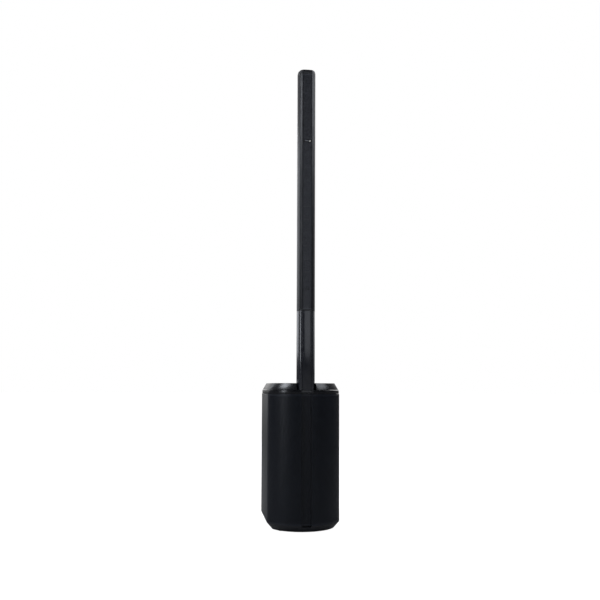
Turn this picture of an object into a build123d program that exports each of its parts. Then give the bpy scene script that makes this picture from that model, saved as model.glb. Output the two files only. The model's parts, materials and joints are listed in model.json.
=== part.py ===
from build123d import *
from math import cos, radians, sqrt, tan
import os

# Column loudspeaker: a bass base that stands on the floor, with a two-piece column plugged into it.
# Millimetres. The front faces -Y, +Z is up, and the origin is under the middle of the base, on the floor.

# Overall sizes of the base
base_width = 317.0
base_depth = 440.0
front_bulge = 101.0
rear_corner_radius = 40.0

# Heights of the layers of the base, from the floor up
foot_height = 3.0
pan_top = 33.0
cabinet_top = 586.0
trim_top = 603.0
base_top = 633.0

# Walls of the base
pan_wall = 5.0
pan_side_slope = 26.0
pan_edge_radius = 9.0
pan_rib = 2.0
pan_rib_height = 10.0
pan_notch_height = 7.0
pan_notch_depth = 4.0
cabinet_wall = 9.0
grille_sheet = 2.0
grille_gap = 0.4
trim_wall = 9.0
trim_inset = 2.0
trim_shadow_gap = 1.0
cap_wall = 4.0
cap_foot_inset = 4.0
cap_side_slope = 17.0
baffle_thickness = 12.0

# Column section, measured back from its front face
column_setback = 6.0
column_half_width = 39.0
front_flat_half = 20.5
bevel_half = 30.0
bevel_depth = 6.0
widest_from = 30.0
widest_to = 45.0
taper_end = 90.0
column_depth = 97.0
rear_flat_half = 24.0
column_wall = 3.0
pocket_clearance = 2.5
pocket_wall = 3.0

# Column lengths
extension_length = 340.0
array_length = 1060.0
array_cap_height = 18.0
crown_radius = 260.0
crown_corner = 9.0
cap_spigot_height = 10.0
array_foot_height = 6.0

# Plugs that join the column pieces
plug_width = 46.0
plug_depth = 60.0
plug_wall = 4.0
plug_length = 92.0
plug_root = 30.0
plug_centre = 48.0
plug_clearance = 0.3
socket_wall = 3.5
socket_floor = 4.0
contact_gap = 0.6
contact_height = 3.0
contact_width = 28.0
contact_depth = 20.0
wire_block_height = 8.0
wire_end_gap = 1.0
wire_radius = 3.5

# Array drivers
driver_count = 16
driver_pitch = 57.5
driver_frame = 56.0
driver_frame_thickness = 4.0
driver_frame_setback = 12.0
driver_opening_radius = 20.0
driver_first_above_seam = 140.0
rail_thickness = 3.0
rail_reach = 5.0
driver_basket_radius = 22.5
driver_basket_depth = 16.0
driver_basket_floor = 1.5
driver_window_height = 16.0
driver_surround_width = 7.0
driver_surround_inside = 3.0
driver_surround_thickness = 1.2
driver_magnet_radius = 18.0
driver_magnet_length = 14.0
driver_edge_gap = 0.5
driver_cone_depth = 10.0
driver_throat_radius = 9.0
driver_cone_root = 7.0
driver_cone_wall = 0.8
driver_coil_radius = 6.5
driver_coil_length = 6.0
array_grille_sheet = 1.5
badge_width = 34.0
badge_height = 7.0
badge_thickness = 1.0
badge_below_top = 318.0

# Bass driver
woofer_height = 250.0
woofer_hole_width = 170.0
woofer_hole_length = 322.0
woofer_flange = 11.0
woofer_flange_thickness = 5.0
woofer_basket_depth = 72.0
woofer_basket_wall = 2.5
woofer_basket_floor = 4.0
woofer_hole_gap = 1.5
woofer_window_height = 48.0
woofer_window_spacing = 70.0
woofer_window_front = 14.0
woofer_window_back = 16.0
woofer_spine_half = 20.0
woofer_taper = 24.0
magnet_radius = 62.0
magnet_thickness = 34.0
back_plate_thickness = 6.0
coil_air_gap = 1.0
coil_seat_width = 8.8
coil_wall = 1.0
pole_air_gap = 0.5
coil_length = 58.0
cone_thickness = 2.0
cone_depth = 34.0
cone_taper = 38.0
cone_seat = 1.0
cone_lip = 1.6
surround_thickness = 3.0
surround_overlap = 4.0
surround_width = 14.0
moving_gap = 0.5
spider_wall_gap = 6.7
spider_land = 6.0
spider_land_thickness = 3.0
spider_ridge_count = 3
spider_ridge_step = 6.0
spider_ridge_width = 1.5
spider_thickness = 1.5
spider_behind_flange = 50.0
dust_cap_margin = 12.0
dust_cap_wall = 1.2
dust_cap_roundness = 1.25

# Port tube
port_radius = 30.0
port_wall = 3.0
port_length = 150.0
port_across = 95.0
port_height = 492.0
port_flare = 8.0

# Handle well in the top cap
well_width = 132.0
well_length = 92.0
well_depth = 40.0
well_wall = 3.0
well_centre_y = 70.0
grip_width = 26.0
grip_height = 16.0
grip_below_top = 2.0
grip_corner = 7.0

# Control panel on the rear
panel_width = 224.0
panel_height = 300.0
panel_below_plate = 23.0
panel_thickness = 3.0
panel_recess = 21.0
panel_tray_wall = 6.0
panel_lip = 8.0
panel_fit = 0.4
screw_head_radius = 3.4
screw_head_height = 1.6
screw_radius = 1.5
screw_length = 9.0
screw_inset = 4.0
hole_clearance = 0.2

# Rows and columns of the controls, measured down from the top of the panel
channel_spacing = 72.0
knob_row = 48.0
mute_row = 78.0
preset_row = 102.0
input_row = 144.0
output_row = 200.0
power_row = 256.0
knob_radius = 11.5
knob_length = 15.0
knob_stand_off = 3.0
knob_bore_depth = 11.0
knob_edge = 1.2
pointer_width = 1.2
pointer_depth = 0.8
pointer_from = 3.0
shaft_radius = 3.0
running_clearance = 0.05
bush_radius = 4.6
bush_wall_gap = 0.1
encoder_size = 14.0
encoder_depth = 9.0
encoder_behind = 6.0
encoder_back_wall = 1.5
bush_proud = 0.8
shaft_end_gap = 0.4
plunger_travel = 1.0
button_width = 12.0
button_height = 6.0
button_corner = 2.0
button_proud = 2.4
button_flange = 1.5
button_flange_thickness = 2.5
button_clearance = 0.35
button_flange_gap = 0.3

# Sockets
jack_width = 24.0
jack_above = 18.0
jack_below = 14.0
jack_depth = 28.0
jack_bezel = 2.0
jack_bezel_rim = 1.5
jack_recess_radius = 10.4
jack_recess_depth = 3.0
phone_plug_radius = 3.2
phone_plug_length = 24.0
contact_hole_radius = 1.5
contact_hole_ring = 6.6
contact_hole_depth = 12.0
latch_width = 7.0
latch_height = 3.4
latch_centre = 14.2
latch_proud = 3.0
latch_inside = 8.0
latch_clearance = 0.3
latch_travel_room = 2.2
line_jack_radius = 5.9
line_jack_depth = 30.0
nut_radius = 8.5
nut_thickness = 2.0
mini_plug_radius = 1.8
mini_plug_length = 14.0
mini_jack_radius = 3.9
mini_nut_radius = 5.6
mini_jack_depth = 17.0
mini_jack_drop = 22.0
output_cavity_radius = 8.2
output_cavity_depth = 17.0
output_pin_radius = 1.2
output_pin_ring = 4.6
output_pin_length = 9.0
port_body = 17.0
port_opening_width = 12.0
port_opening_height = 8.6
port_opening_depth = 14.0
port_proud = 1.0
usb_width = 9.0
usb_height = 3.3
usb_corner = 1.6
usb_body_width = 15.0
usb_body_height = 9.0
usb_depth = 10.0
usb_body_depth = 20.0
usb_proud = 0.5
inlet_width = 27.0
inlet_height = 20.0
inlet_wall = 2.5
inlet_depth = 24.0
inlet_flange_width = 50.0
inlet_flange_corner = 3.0
inlet_pin_width = 2.0
inlet_pin_height = 4.0
inlet_pin_length = 11.0
inlet_pin_spacing = 7.0
inlet_pin_drop = 2.0
inlet_cavity_depth = 17.0

# Boards
board_thickness = 1.6
main_board_behind = 30.0
main_board_margin = 16.0
chip_size = 18.0
chip_height = 4.0
connector_width = 28.0
connector_height = 20.0
connector_depth = 7.4
power_board_width = 150.0
power_board_above_plate = 36.0
power_board_below_panel = 20.0
power_board_y = 150.0
transformer_width = 44.0
transformer_depth = 34.0
transformer_left = -58.0
capacitor_radius = 11.0
capacitor_height = 30.0
capacitor_places = (20.0, 48.0)
power_part_lift = 20.0
power_chip_depth = 12.0
power_chip_height = 22.0
power_chip_width = 100.0
power_chip_drop = 40.0
heatsink_width = 120.0
heatsink_plate = 5.0
heatsink_fin = 18.0
heatsink_fin_count = 9
heatsink_fin_thickness = 2.0
foot_radius = 14.0
foot_across = 95.0
foot_behind_crease = 8.0
foot_edge_gap = 6.0

# Places worked out from the sizes above
front_y = -base_depth / 2
rear_y = base_depth / 2
front_radius = ((base_width / 2) ** 2 + front_bulge**2) / (2 * front_bulge)
arc_centre_y = front_y + front_radius
column_front_y = front_y + column_setback
plug_y = column_front_y + plug_centre
seam_height = trim_top + extension_length
top_height = seam_height + array_length
panel_y = rear_y - panel_recess
panel_back_y = panel_y - panel_thickness
panel_top = cabinet_top - cabinet_wall - panel_below_plate
panel_bottom = panel_top - panel_height
panel_middle = panel_bottom + panel_height / 2
power_board_bottom = pan_top + cabinet_wall + power_board_above_plate
power_board_top = panel_bottom - panel_tray_wall - power_board_below_panel
channels = [-channel_spacing, 0.0, channel_spacing]


def block(x_span, y_span, z_span):
    """A box between two corners, each span a low and a high value."""
    size = [span[1] - span[0] for span in (x_span, y_span, z_span)]
    middle = [(span[0] + span[1]) / 2 for span in (x_span, y_span, z_span)]
    return Pos(*middle) * Box(*size)


def rod(x, z, radius, y_from, y_to):
    """A round bar along Y."""
    return Pos(x, (y_from + y_to) / 2, z) * Rot(90, 0, 0) * Cylinder(radius, y_to - y_from)


def upright(outline, z_from, z_to):
    """An outline drawn in the floor plane, raised between two heights."""
    return extrude(Pos(0, 0, z_from) * outline, z_to - z_from)


def facing(outline, x, z, y_from, y_to):
    """An outline drawn across X and up Z, run along Y between two places."""
    return Pos(x, y_to, z) * Rot(90, 0, 0) * extrude(outline, y_to - y_from)


def crease_y(inset=0.0):
    """Where the curved front meets a flat side."""
    half = base_width / 2 - inset
    return arc_centre_y - sqrt((front_radius - inset) ** 2 - half**2)


def base_plan(inset=0.0):
    """Plan of the base: an arc in front, flat sides and round rear corners."""
    half = base_width / 2 - inset
    back = rear_y - inset
    corner = rear_corner_radius - inset
    bulge = corner * (1 - cos(radians(45)))
    side_end = back - corner
    front = ThreePointArc((-half, crease_y(inset)), (0, front_y + inset), (half, crease_y(inset)))
    right = Line((half, crease_y(inset)), (half, side_end))
    right_corner = ThreePointArc((half, side_end), (half - bulge, back - bulge), (half - corner, back))
    rear = Line((half - corner, back), (corner - half, back))
    left_corner = ThreePointArc((corner - half, back), (bulge - half, back - bulge), (-half, side_end))
    left = Line((-half, side_end), (-half, crease_y(inset)))
    return make_face([front, right, right_corner, rear, left_corner, left])


def column_plan(grow=0.0):
    """Section of the column, made larger or smaller all round."""
    right_side = [
        (front_flat_half, 0),
        (bevel_half, bevel_depth),
        (column_half_width, widest_from),
        (column_half_width, widest_to),
        (bevel_half, taper_end),
        (rear_flat_half, column_depth),
    ]
    left_side = [(-x, y) for x, y in reversed(right_side)]
    outline = make_face(Polyline(*right_side, *left_side, close=True))
    if grow:
        outline = offset(outline, grow, kind=Kind.INTERSECTION)
    return Pos(0, column_front_y) * outline


def plug_plan(grow=0.0):
    """Section of the plug at the end of a column piece."""
    return Pos(0, plug_y) * Rectangle(plug_width + 2 * grow, plug_depth + 2 * grow)


def channel_plan(grow=0.0):
    """The groove down the front of the base that carries on the face of the column."""
    floor_y = column_front_y + grow
    return Pos(0, (front_y - grille_sheet + floor_y) / 2) * Rectangle(
        2 * (front_flat_half + grow), floor_y - front_y + grille_sheet
    )


def panel_screw_places():
    """Places of the screws round the edge of the control panel, as x and z."""
    across = panel_width / 2 - screw_inset
    heights = [panel_bottom + screw_inset, panel_middle, panel_top - screw_inset]
    return [(side * across, z) for side in (-1, 1) for z in heights]


def at_row(row):
    """Height above the floor of a row of the control panel."""
    return panel_top - row


def foot_places():
    """Places of the four feet, as x and y."""
    front = (foot_across, crease_y() - foot_behind_crease)
    rear_inset = pan_side_slope + foot_radius + foot_edge_gap
    rear = (base_width / 2 - rear_inset, rear_y - rear_corner_radius - foot_radius)
    return [(side * x, y) for x, y in (front, rear) for side in (-1, 1)]


# Base: floor pan, feet, cabinet, front


def make_base_pan():
    low = Pos(0, 0, foot_height) * base_plan(grille_gap + pan_side_slope)
    high = Pos(0, 0, pan_top) * base_plan(grille_gap)
    pan = loft([low, high], ruled=True)
    pan = fillet(pan.faces().sort_by(Axis.Z)[0].edges(), pan_edge_radius)
    pan -= upright(base_plan(pan_side_slope + pan_rib), foot_height + pan_wall, pan_top)
    pan -= upright(base_plan(pan_side_slope / 2 + pan_rib), pan_top - pan_rib_height, pan_top)
    notch_x = (-front_flat_half, front_flat_half)
    notch_y = (front_y - 1, column_front_y + pan_notch_depth)
    return pan - block(notch_x, notch_y, (pan_top - pan_notch_height, pan_top + 1))


def make_rubber_feet():
    return [Pos(x, y, foot_height / 2) * Cylinder(foot_radius, foot_height) for x, y in foot_places()]


def panel_tray(grow_out):
    """The box round the control panel, in x and z, made larger all round."""
    x_span = (-panel_width / 2 - grow_out, panel_width / 2 + grow_out)
    return x_span, (panel_bottom - grow_out, panel_top + grow_out)


def make_cabinet_shell():
    behind_front = block((-base_width, base_width), (crease_y(), rear_y + 1), (pan_top, cabinet_top))
    walls = upright(base_plan(), pan_top, cabinet_top) & behind_front
    plate = base_plan(grille_sheet + grille_gap) - channel_plan(grille_sheet + grille_gap)
    bottom_plate = upright(plate, pan_top, pan_top + cabinet_wall)
    top_plate = upright(plate, cabinet_top - cabinet_wall, cabinet_top)
    inside_z = (pan_top + cabinet_wall, cabinet_top - cabinet_wall)
    inside = upright(base_plan(cabinet_wall), *inside_z)
    half = base_width / 2 - cabinet_wall
    inside += block((-half, half), (crease_y(), 0), inside_z)
    shell = walls + bottom_plate + top_plate - inside
    tray_back = panel_back_y - panel_tray_wall
    tray_x, tray_z = panel_tray(panel_tray_wall)
    shell += block(tray_x, (tray_back, rear_y), tray_z) & upright(base_plan(), *tray_z)
    hole_x, hole_z = panel_tray(panel_fit)
    shell -= block(hole_x, (panel_back_y, rear_y + 1), hole_z)
    lip_x, lip_z = panel_tray(-panel_lip)
    shell -= block(lip_x, (tray_back - 1, rear_y), lip_z)
    for x, z in panel_screw_places():
        shell -= rod(x, z, screw_radius + hole_clearance, tray_back - 1, rear_y)
    socket_hole = plug_plan(plug_clearance + socket_wall + hole_clearance)
    return shell - upright(socket_hole, cabinet_top - 2 * cabinet_wall, cabinet_top + 1)


def make_front_baffle():
    half = base_width / 2 - cabinet_wall
    front = crease_y()
    cut = (front - 1, front + baffle_thickness + 1)
    plate_z = (pan_top + cabinet_wall, cabinet_top - cabinet_wall)
    baffle = block((-half, half), (front, front + baffle_thickness), plate_z)
    hole = SlotOverall(woofer_hole_length, woofer_hole_width, rotation=90)
    baffle -= facing(hole, 0, woofer_height, *cut)
    return baffle - rod(port_across, port_height, port_radius + port_wall, *cut)


def make_front_grille():
    outside = base_plan() - channel_plan()
    inside = base_plan(grille_sheet) - channel_plan(grille_sheet)
    sheet = upright(outside - inside, pan_top, cabinet_top)
    return sheet & block((-base_width, base_width), (front_y - 1, crease_y()), (pan_top, cabinet_top))


def make_trim_ring():
    ring = base_plan(trim_inset) - base_plan(trim_inset + trim_wall) - channel_plan()
    return upright(ring, cabinet_top, trim_top - trim_shadow_gap)


def cap_loft(inset, z_top):
    """The sloping body of the top cap, drawn in towards its top."""
    low = Pos(0, 0, trim_top) * base_plan(cap_foot_inset + inset)
    high = Pos(0, 0, z_top) * base_plan(cap_foot_inset + cap_side_slope + inset)
    return loft([low, high], ruled=True)


def well_span(grow=0.0):
    """Box of the handle well in plan, as an x span and a y span."""
    x_span = (-well_width / 2 - grow, well_width / 2 + grow)
    y_span = (well_centre_y - well_length / 2 - grow, well_centre_y + well_length / 2 + grow)
    return x_span, y_span


def make_top_cap():
    cap = cap_loft(0, base_top) - cap_loft(cap_wall, base_top - cap_wall)
    around_pocket = upright(column_plan(pocket_clearance + pocket_wall), trim_top, base_top)
    cap += around_pocket & cap_loft(0, base_top)
    well_floor = base_top - well_depth
    cap += block(*well_span(well_wall), (well_floor - well_wall, base_top))
    cap -= block(*well_span(), (well_floor, base_top + 1))
    cap -= upright(column_plan(pocket_clearance), trim_top - 1, base_top + 1)
    mouth_half = column_half_width + pocket_clearance
    widest_y = column_front_y + widest_from
    return cap - block((-mouth_half, mouth_half), (front_y - 1, widest_y), (trim_top - 1, base_top + 1))


def make_handle_grip():
    top = base_top - grip_below_top
    bar = RectangleRounded(grip_width, grip_height, grip_corner)
    run = extrude(Plane.YZ * bar, well_width / 2, both=True)
    return Pos(0, well_centre_y, top - grip_height / 2) * run


def make_column_socket():
    flange = upright(column_plan(pocket_clearance + pocket_wall), cabinet_top, trim_top)
    flange &= upright(base_plan(trim_inset + trim_wall + grille_gap), cabinet_top, trim_top)
    floor_z = trim_top - plug_length - contact_gap - contact_height - socket_floor
    tube = upright(plug_plan(plug_clearance + socket_wall), floor_z, cabinet_top + 1)
    bore = upright(plug_plan(plug_clearance), floor_z + socket_floor, trim_top + 1)
    return flange + tube - bore


def make_socket_contacts():
    top = trim_top - plug_length - contact_gap
    x_span = (-contact_width / 2, contact_width / 2)
    y_span = (plug_y - contact_depth / 2, plug_y + contact_depth / 2)
    return block(x_span, y_span, (top - contact_height, top))


# Bass driver, built about a line along Y through the middle of its hole


def slot_ring(y_from, y_to, outer, inner):
    """A flat racetrack ring; outer and inner are the amounts added to the hole in the baffle."""
    ring = SlotOverall(woofer_hole_length + 2 * outer, woofer_hole_width + 2 * outer, rotation=90)
    ring -= SlotOverall(woofer_hole_length + 2 * inner, woofer_hole_width + 2 * inner, rotation=90)
    return facing(ring, 0, woofer_height, y_from, y_to)


def slot_taper(y_front, depth, grow, taper):
    """A racetrack plug that narrows as it runs back."""
    outline = SlotOverall(woofer_hole_length + 2 * grow, woofer_hole_width + 2 * grow, rotation=90)
    return Pos(0, y_front, woofer_height) * Rot(-90, 0, 0) * extrude(outline, depth, taper=taper)


def basket_back_y():
    return crease_y() + woofer_basket_depth


def basket_inside_half(behind):
    """Half the inside width of the basket at a distance behind the baffle."""
    mouth = woofer_hole_width / 2 - woofer_hole_gap - woofer_basket_wall
    return mouth - behind * tan(radians(woofer_taper))


def cone_front_y():
    return crease_y() - woofer_flange_thickness - cone_seat


def cone_rim_inset():
    """How far the rim of the cone lies inside the hole in the baffle."""
    return surround_width - surround_overlap + moving_gap


def dust_cap_radius():
    """The dust cap stands on the flat back of the cone, clear of its sloping wall."""
    slope = (cone_depth - cone_thickness) * tan(radians(cone_taper))
    return woofer_hole_width / 2 - cone_rim_inset() - cone_lip * cone_thickness - slope - dust_cap_margin


def coil_radius():
    """The voice coil hangs from the back of the cone, inside the edge of the dust cap."""
    return dust_cap_radius() - coil_seat_width


def spider_radius():
    return basket_inside_half(spider_behind_flange) - spider_wall_gap


def make_woofer_basket():
    front = crease_y()
    inner = woofer_hole_gap + woofer_basket_wall
    basket = slot_ring(front - woofer_flange_thickness, front, woofer_flange, -inner)
    basket += slot_taper(front, woofer_basket_depth, -woofer_hole_gap, woofer_taper)
    basket -= slot_taper(front, woofer_basket_depth - woofer_basket_floor, -inner, woofer_taper)
    window_y = (front + woofer_window_front, front + woofer_basket_depth - woofer_window_back)
    for level in (-1, 0, 1):
        middle = woofer_height + level * woofer_window_spacing
        window_z = (middle - woofer_window_height / 2, middle + woofer_window_height / 2)
        basket -= block((woofer_spine_half, base_width), window_y, window_z)
        basket -= block((-base_width, -woofer_spine_half), window_y, window_z)
    land_y = front + spider_behind_flange + spider_thickness
    half = basket_inside_half(spider_behind_flange)
    land_z = (woofer_height - spider_radius() - spider_land, woofer_height + spider_radius() + spider_land)
    basket += block((-half, half), (land_y, land_y + spider_land_thickness), land_z)
    hole = (land_y - 1, land_y + spider_land_thickness + 1)
    basket -= rod(0, woofer_height, spider_radius() - spider_land, *hole)
    gap_radius = coil_radius() + coil_air_gap
    return basket - rod(0, woofer_height, gap_radius, land_y, basket_back_y() + 1)


def make_woofer_magnet():
    back = basket_back_y()
    end = back + magnet_thickness
    magnet = rod(0, woofer_height, magnet_radius, back, end)
    magnet -= rod(0, woofer_height, coil_radius() + coil_air_gap, back - 1, end - back_plate_thickness)
    return magnet + rod(0, woofer_height, coil_radius() - coil_wall - pole_air_gap, back, end)


def make_woofer_surround():
    front = crease_y() - woofer_flange_thickness
    return slot_ring(front - surround_thickness, front, surround_overlap, surround_overlap - surround_width)


def make_woofer_cone():
    front = cone_front_y()
    rim = cone_rim_inset()
    cone = slot_taper(front, cone_depth, -rim, cone_taper)
    cone -= slot_taper(front, cone_depth - cone_thickness, -rim - cone_lip * cone_thickness, cone_taper)
    return cone - rod(0, woofer_height, coil_radius(), front, front + cone_depth + 1)


def make_dust_cap():
    seat = cone_front_y() + cone_depth - cone_thickness
    edge = dust_cap_radius()
    dome_radius = edge * dust_cap_roundness
    rise = dome_radius - sqrt(dome_radius**2 - edge**2)
    middle = Pos(0, seat - rise + dome_radius, woofer_height)
    dome = middle * Sphere(dome_radius) - middle * Sphere(dome_radius - dust_cap_wall)
    return dome & rod(0, woofer_height, edge, seat - rise - 1, seat)


def make_voice_coil():
    front = cone_front_y() + cone_depth - cone_thickness
    tube = rod(0, woofer_height, coil_radius(), front, front + coil_length)
    return tube - rod(0, woofer_height, coil_radius() - coil_wall, front - 1, front + coil_length + 1)


def make_woofer_spider():
    y = crease_y() + spider_behind_flange
    disc = rod(0, woofer_height, spider_radius(), y, y + spider_thickness)
    for number in range(spider_ridge_count):
        ridge = spider_radius() - (number + 1) * spider_ridge_step
        disc += rod(0, woofer_height, ridge + spider_ridge_width, y - spider_thickness, y)
        disc -= rod(0, woofer_height, ridge, y - 2 * spider_thickness, y)
    opening = (y - 2 * spider_thickness, y + 2 * spider_thickness)
    return disc - rod(0, woofer_height, coil_radius() + moving_gap, *opening)


def make_port_tube():
    front = crease_y()
    back = front + port_length
    outer = port_radius + port_wall
    tube = rod(port_across, port_height, outer, front, back)
    tube += rod(port_across, port_height, outer + port_flare, front - port_wall, front)
    return tube - rod(port_across, port_height, port_radius, front - 2 * port_wall, back + 1)


# Column


def make_extension_shell():
    ring = column_plan() - column_plan(-column_wall)
    return upright(ring, trim_top, seam_height)


def plug_with_flange(tip_z, seam_z, root_z):
    """A hollow plug that runs from its tip through the seam to a flange that fills the shell."""
    low, high = min(tip_z, root_z), max(tip_z, root_z)
    body = upright(plug_plan(), low, high)
    flange_low, flange_high = min(seam_z, root_z), max(seam_z, root_z)
    body += upright(column_plan(-column_wall), flange_low, flange_high)
    return body - upright(plug_plan(-plug_wall), low - 1, high + 1)


def make_extension_lower_plug():
    return plug_with_flange(trim_top - plug_length, trim_top, trim_top + plug_root)


def make_extension_upper_plug():
    return plug_with_flange(seam_height + plug_length, seam_height, seam_height - plug_root)


def make_extension_wiring():
    low = trim_top - plug_length + wire_end_gap
    high = seam_height + plug_length - wire_end_gap
    inner_x = plug_width / 2 - plug_wall
    inner_y = plug_depth / 2 - plug_wall
    loom = Pos(0, plug_y, (low + high) / 2) * Cylinder(wire_radius, high - low)
    for z in (low, high - wire_block_height):
        loom += block((-inner_x, inner_x), (plug_y - inner_y, plug_y + inner_y), (z, z + wire_block_height))
    return loom


def array_cap_floor():
    return top_height - array_cap_height


def driver_heights():
    """Heights of the driver centres up the array."""
    return [seam_height + driver_first_above_seam + driver_pitch * i for i in range(driver_count)]


def driver_rails():
    """Two ledges inside the housing that the driver frames are screwed to."""
    rail_y = column_front_y + driver_frame_setback + driver_frame_thickness
    rail_z = (driver_heights()[0] - driver_frame / 2, driver_heights()[-1] + driver_frame / 2)
    between = driver_frame / 2 - rail_reach
    rails = block((-column_half_width, column_half_width), (rail_y, rail_y + rail_thickness), rail_z)
    rails -= block((-between, between), (rail_y - 1, rail_y + rail_thickness + 1), rail_z)
    return rails & upright(column_plan(-column_wall / 2), *rail_z)


def make_array_housing():
    ring = column_plan() - column_plan(-column_wall)
    housing = upright(ring, seam_height, array_cap_floor()) + driver_rails()
    foot_top = seam_height + array_foot_height
    bore_top = seam_height + plug_length + contact_gap
    housing += upright(plug_plan(plug_clearance + socket_wall), seam_height, bore_top + socket_floor)
    housing += upright(column_plan(-column_wall / 2), seam_height, foot_top)
    housing -= upright(plug_plan(plug_clearance), seam_height - 1, bore_top)
    front_cut = (column_front_y - 1, column_front_y + bevel_depth + grille_gap)
    return housing - block((-base_width, base_width), front_cut, (foot_top, top_height))


def make_array_grille():
    ring = column_plan() - column_plan(-array_grille_sheet)
    sheet = upright(ring, seam_height + array_foot_height, array_cap_floor())
    front = (column_front_y - 1, column_front_y + bevel_depth)
    return sheet & block((-base_width, base_width), front, (seam_height, top_height))


def make_array_top_cap():
    cap = upright(column_plan(), array_cap_floor(), top_height)
    crown_y = (column_front_y - 1, column_front_y + column_depth + 1)
    cap &= rod(0, top_height - crown_radius, crown_radius, *crown_y)
    rounded = RectangleRounded(2 * column_half_width, 2 * array_cap_height, crown_corner)
    cap &= facing(rounded, 0, top_height - array_cap_height, *crown_y)
    spigot_low = array_cap_floor() - cap_spigot_height
    spigot = upright(column_plan(-column_wall - plug_clearance), spigot_low, array_cap_floor())
    spigot -= upright(column_plan(-2 * column_wall), spigot_low - 1, array_cap_floor() + 1)
    return cap + spigot


def driver_ring(y_from, y_to, outer, inner, z):
    return rod(0, z, outer, y_from, y_to) - rod(0, z, inner, y_from - 1, y_to + 1)


def make_driver_baskets():
    frame_y = column_front_y + driver_frame_setback
    back_y = frame_y + driver_frame_thickness
    deep_y = back_y + driver_basket_depth
    floor_y = deep_y - driver_basket_floor
    half = driver_frame / 2
    window_y = (back_y + 2 * driver_basket_floor, floor_y - driver_basket_floor)
    baskets = []
    for z in driver_heights():
        basket = block((-half, half), (frame_y, back_y), (z - half, z + half))
        basket += rod(0, z, driver_basket_radius, back_y, deep_y)
        basket -= rod(0, z, driver_opening_radius, frame_y - 1, floor_y)
        basket -= rod(0, z, driver_throat_radius, floor_y - 1, deep_y + 1)
        window_z = (z - driver_window_height / 2, z + driver_window_height / 2)
        basket -= block((-base_width, base_width), window_y, window_z)
        baskets.append(basket)
    return baskets


def make_driver_surrounds():
    frame_y = column_front_y + driver_frame_setback
    inner = driver_opening_radius - driver_surround_inside
    outer = inner + driver_surround_width
    front = frame_y - driver_surround_thickness
    return [driver_ring(front, frame_y, outer, inner, z) for z in driver_heights()]


def make_driver_cones():
    frame_y = column_front_y + driver_frame_setback
    root_y = frame_y + driver_cone_depth
    rim = driver_opening_radius - driver_surround_inside - driver_edge_gap
    cones = []
    for z in driver_heights():
        cone = Pos(0, frame_y + driver_cone_depth / 2, z) * Rot(90, 0, 0)
        cone *= Cone(driver_cone_root, rim, driver_cone_depth)
        cone -= Pos(0, -driver_cone_wall, 0) * cone
        cone += rod(0, z, driver_coil_radius, root_y - driver_cone_wall, root_y + driver_coil_length)
        cones.append(cone)
    return cones


def make_driver_magnets():
    start = column_front_y + driver_frame_setback + driver_frame_thickness + driver_basket_depth
    return [rod(0, z, driver_magnet_radius, start, start + driver_magnet_length) for z in driver_heights()]


def make_badge_plate():
    z = top_height - badge_below_top
    plate = RectangleRounded(badge_width, badge_height, badge_height / 3)
    return facing(plate, 0, z, column_front_y - badge_thickness, column_front_y)


# Control panel and what sits in it


def button_places():
    """Every push button by name, as x and z."""
    places = {f"mute_button_{i + 1}": (channels[i], at_row(mute_row)) for i in range(3)}
    places["preset_button_1"] = (channels[0], at_row(preset_row))
    places["preset_button_2"] = (channels[1], at_row(preset_row))
    places["pair_button"] = (channels[2], at_row(preset_row))
    places["eq_button"] = (channels[2], at_row(output_row))
    places["standby_button"] = (channels[2], at_row(power_row))
    return places


def button_outline(grow=0.0):
    return RectangleRounded(button_width + 2 * grow, button_height + 2 * grow, button_corner)


def make_button(x, z):
    flange_front = panel_back_y - button_flange_gap
    flange_back = flange_front - button_flange_thickness
    cap = facing(button_outline(), x, z, flange_front, panel_y + button_proud)
    return cap + facing(button_outline(button_flange), x, z, flange_back, flange_front)


def jack_body(x, z, y_from, y_to, grow=0.0):
    """The square body of a combination jack, taller above its centre than below."""
    z_span = (z - jack_below - grow, z + jack_above + grow)
    return block((x - jack_width / 2 - grow, x + jack_width / 2 + grow), (y_from, y_to), z_span)


def make_combo_jack(x, z):
    front = panel_y + jack_bezel
    recess = front - jack_recess_depth
    jack = jack_body(x, z, panel_y - jack_depth, panel_y)
    jack += jack_body(x, z, panel_y, front, jack_bezel_rim)
    jack -= rod(x, z, jack_recess_radius, recess, front + 1)
    jack -= rod(x, z, phone_plug_radius, recess - phone_plug_length, front)
    for turn in (90, 210, 330):
        spot = Pos(x, recess, z) * Rot(0, -turn, 0) * Pos(contact_hole_ring, 0, 0)
        jack -= spot * Rot(90, 0, 0) * Cylinder(contact_hole_radius, 2 * contact_hole_depth)
    half_width = latch_width / 2 + latch_clearance
    half_height = latch_height / 2 + latch_clearance
    slot_y = (front - latch_inside - latch_travel_room, front + 1)
    slot_z = (z + latch_centre - half_height, z + latch_centre + half_height)
    return jack - block((x - half_width, x + half_width), slot_y, slot_z)


def make_combo_latch(x, z):
    front = panel_y + jack_bezel
    x_span = (x - latch_width / 2, x + latch_width / 2)
    z_span = (z + latch_centre - latch_height / 2, z + latch_centre + latch_height / 2)
    return block(x_span, (front - latch_inside, front + latch_proud), z_span)


def round_jack(place, barrel, depth, nut, bore, bore_length):
    """A threaded jack barrel with its nut on the panel and a blind bore from the rear."""
    front = panel_y + nut_thickness
    jack = rod(*place, barrel, panel_y - depth, front)
    jack += rod(*place, nut, panel_y, front)
    return jack - rod(*place, bore, front - bore_length, front + 1)


def line_jack_place():
    return channels[2], at_row(input_row) + mini_jack_drop / 2


def mini_jack_place():
    return channels[2], at_row(input_row) - mini_jack_drop / 2


def make_line_input_jack():
    barrel = (line_jack_radius, line_jack_depth, nut_radius)
    return round_jack(line_jack_place(), *barrel, phone_plug_radius, phone_plug_length)


def make_aux_jack():
    barrel = (mini_jack_radius, mini_jack_depth, mini_nut_radius)
    return round_jack(mini_jack_place(), *barrel, mini_plug_radius, mini_plug_length)


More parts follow.
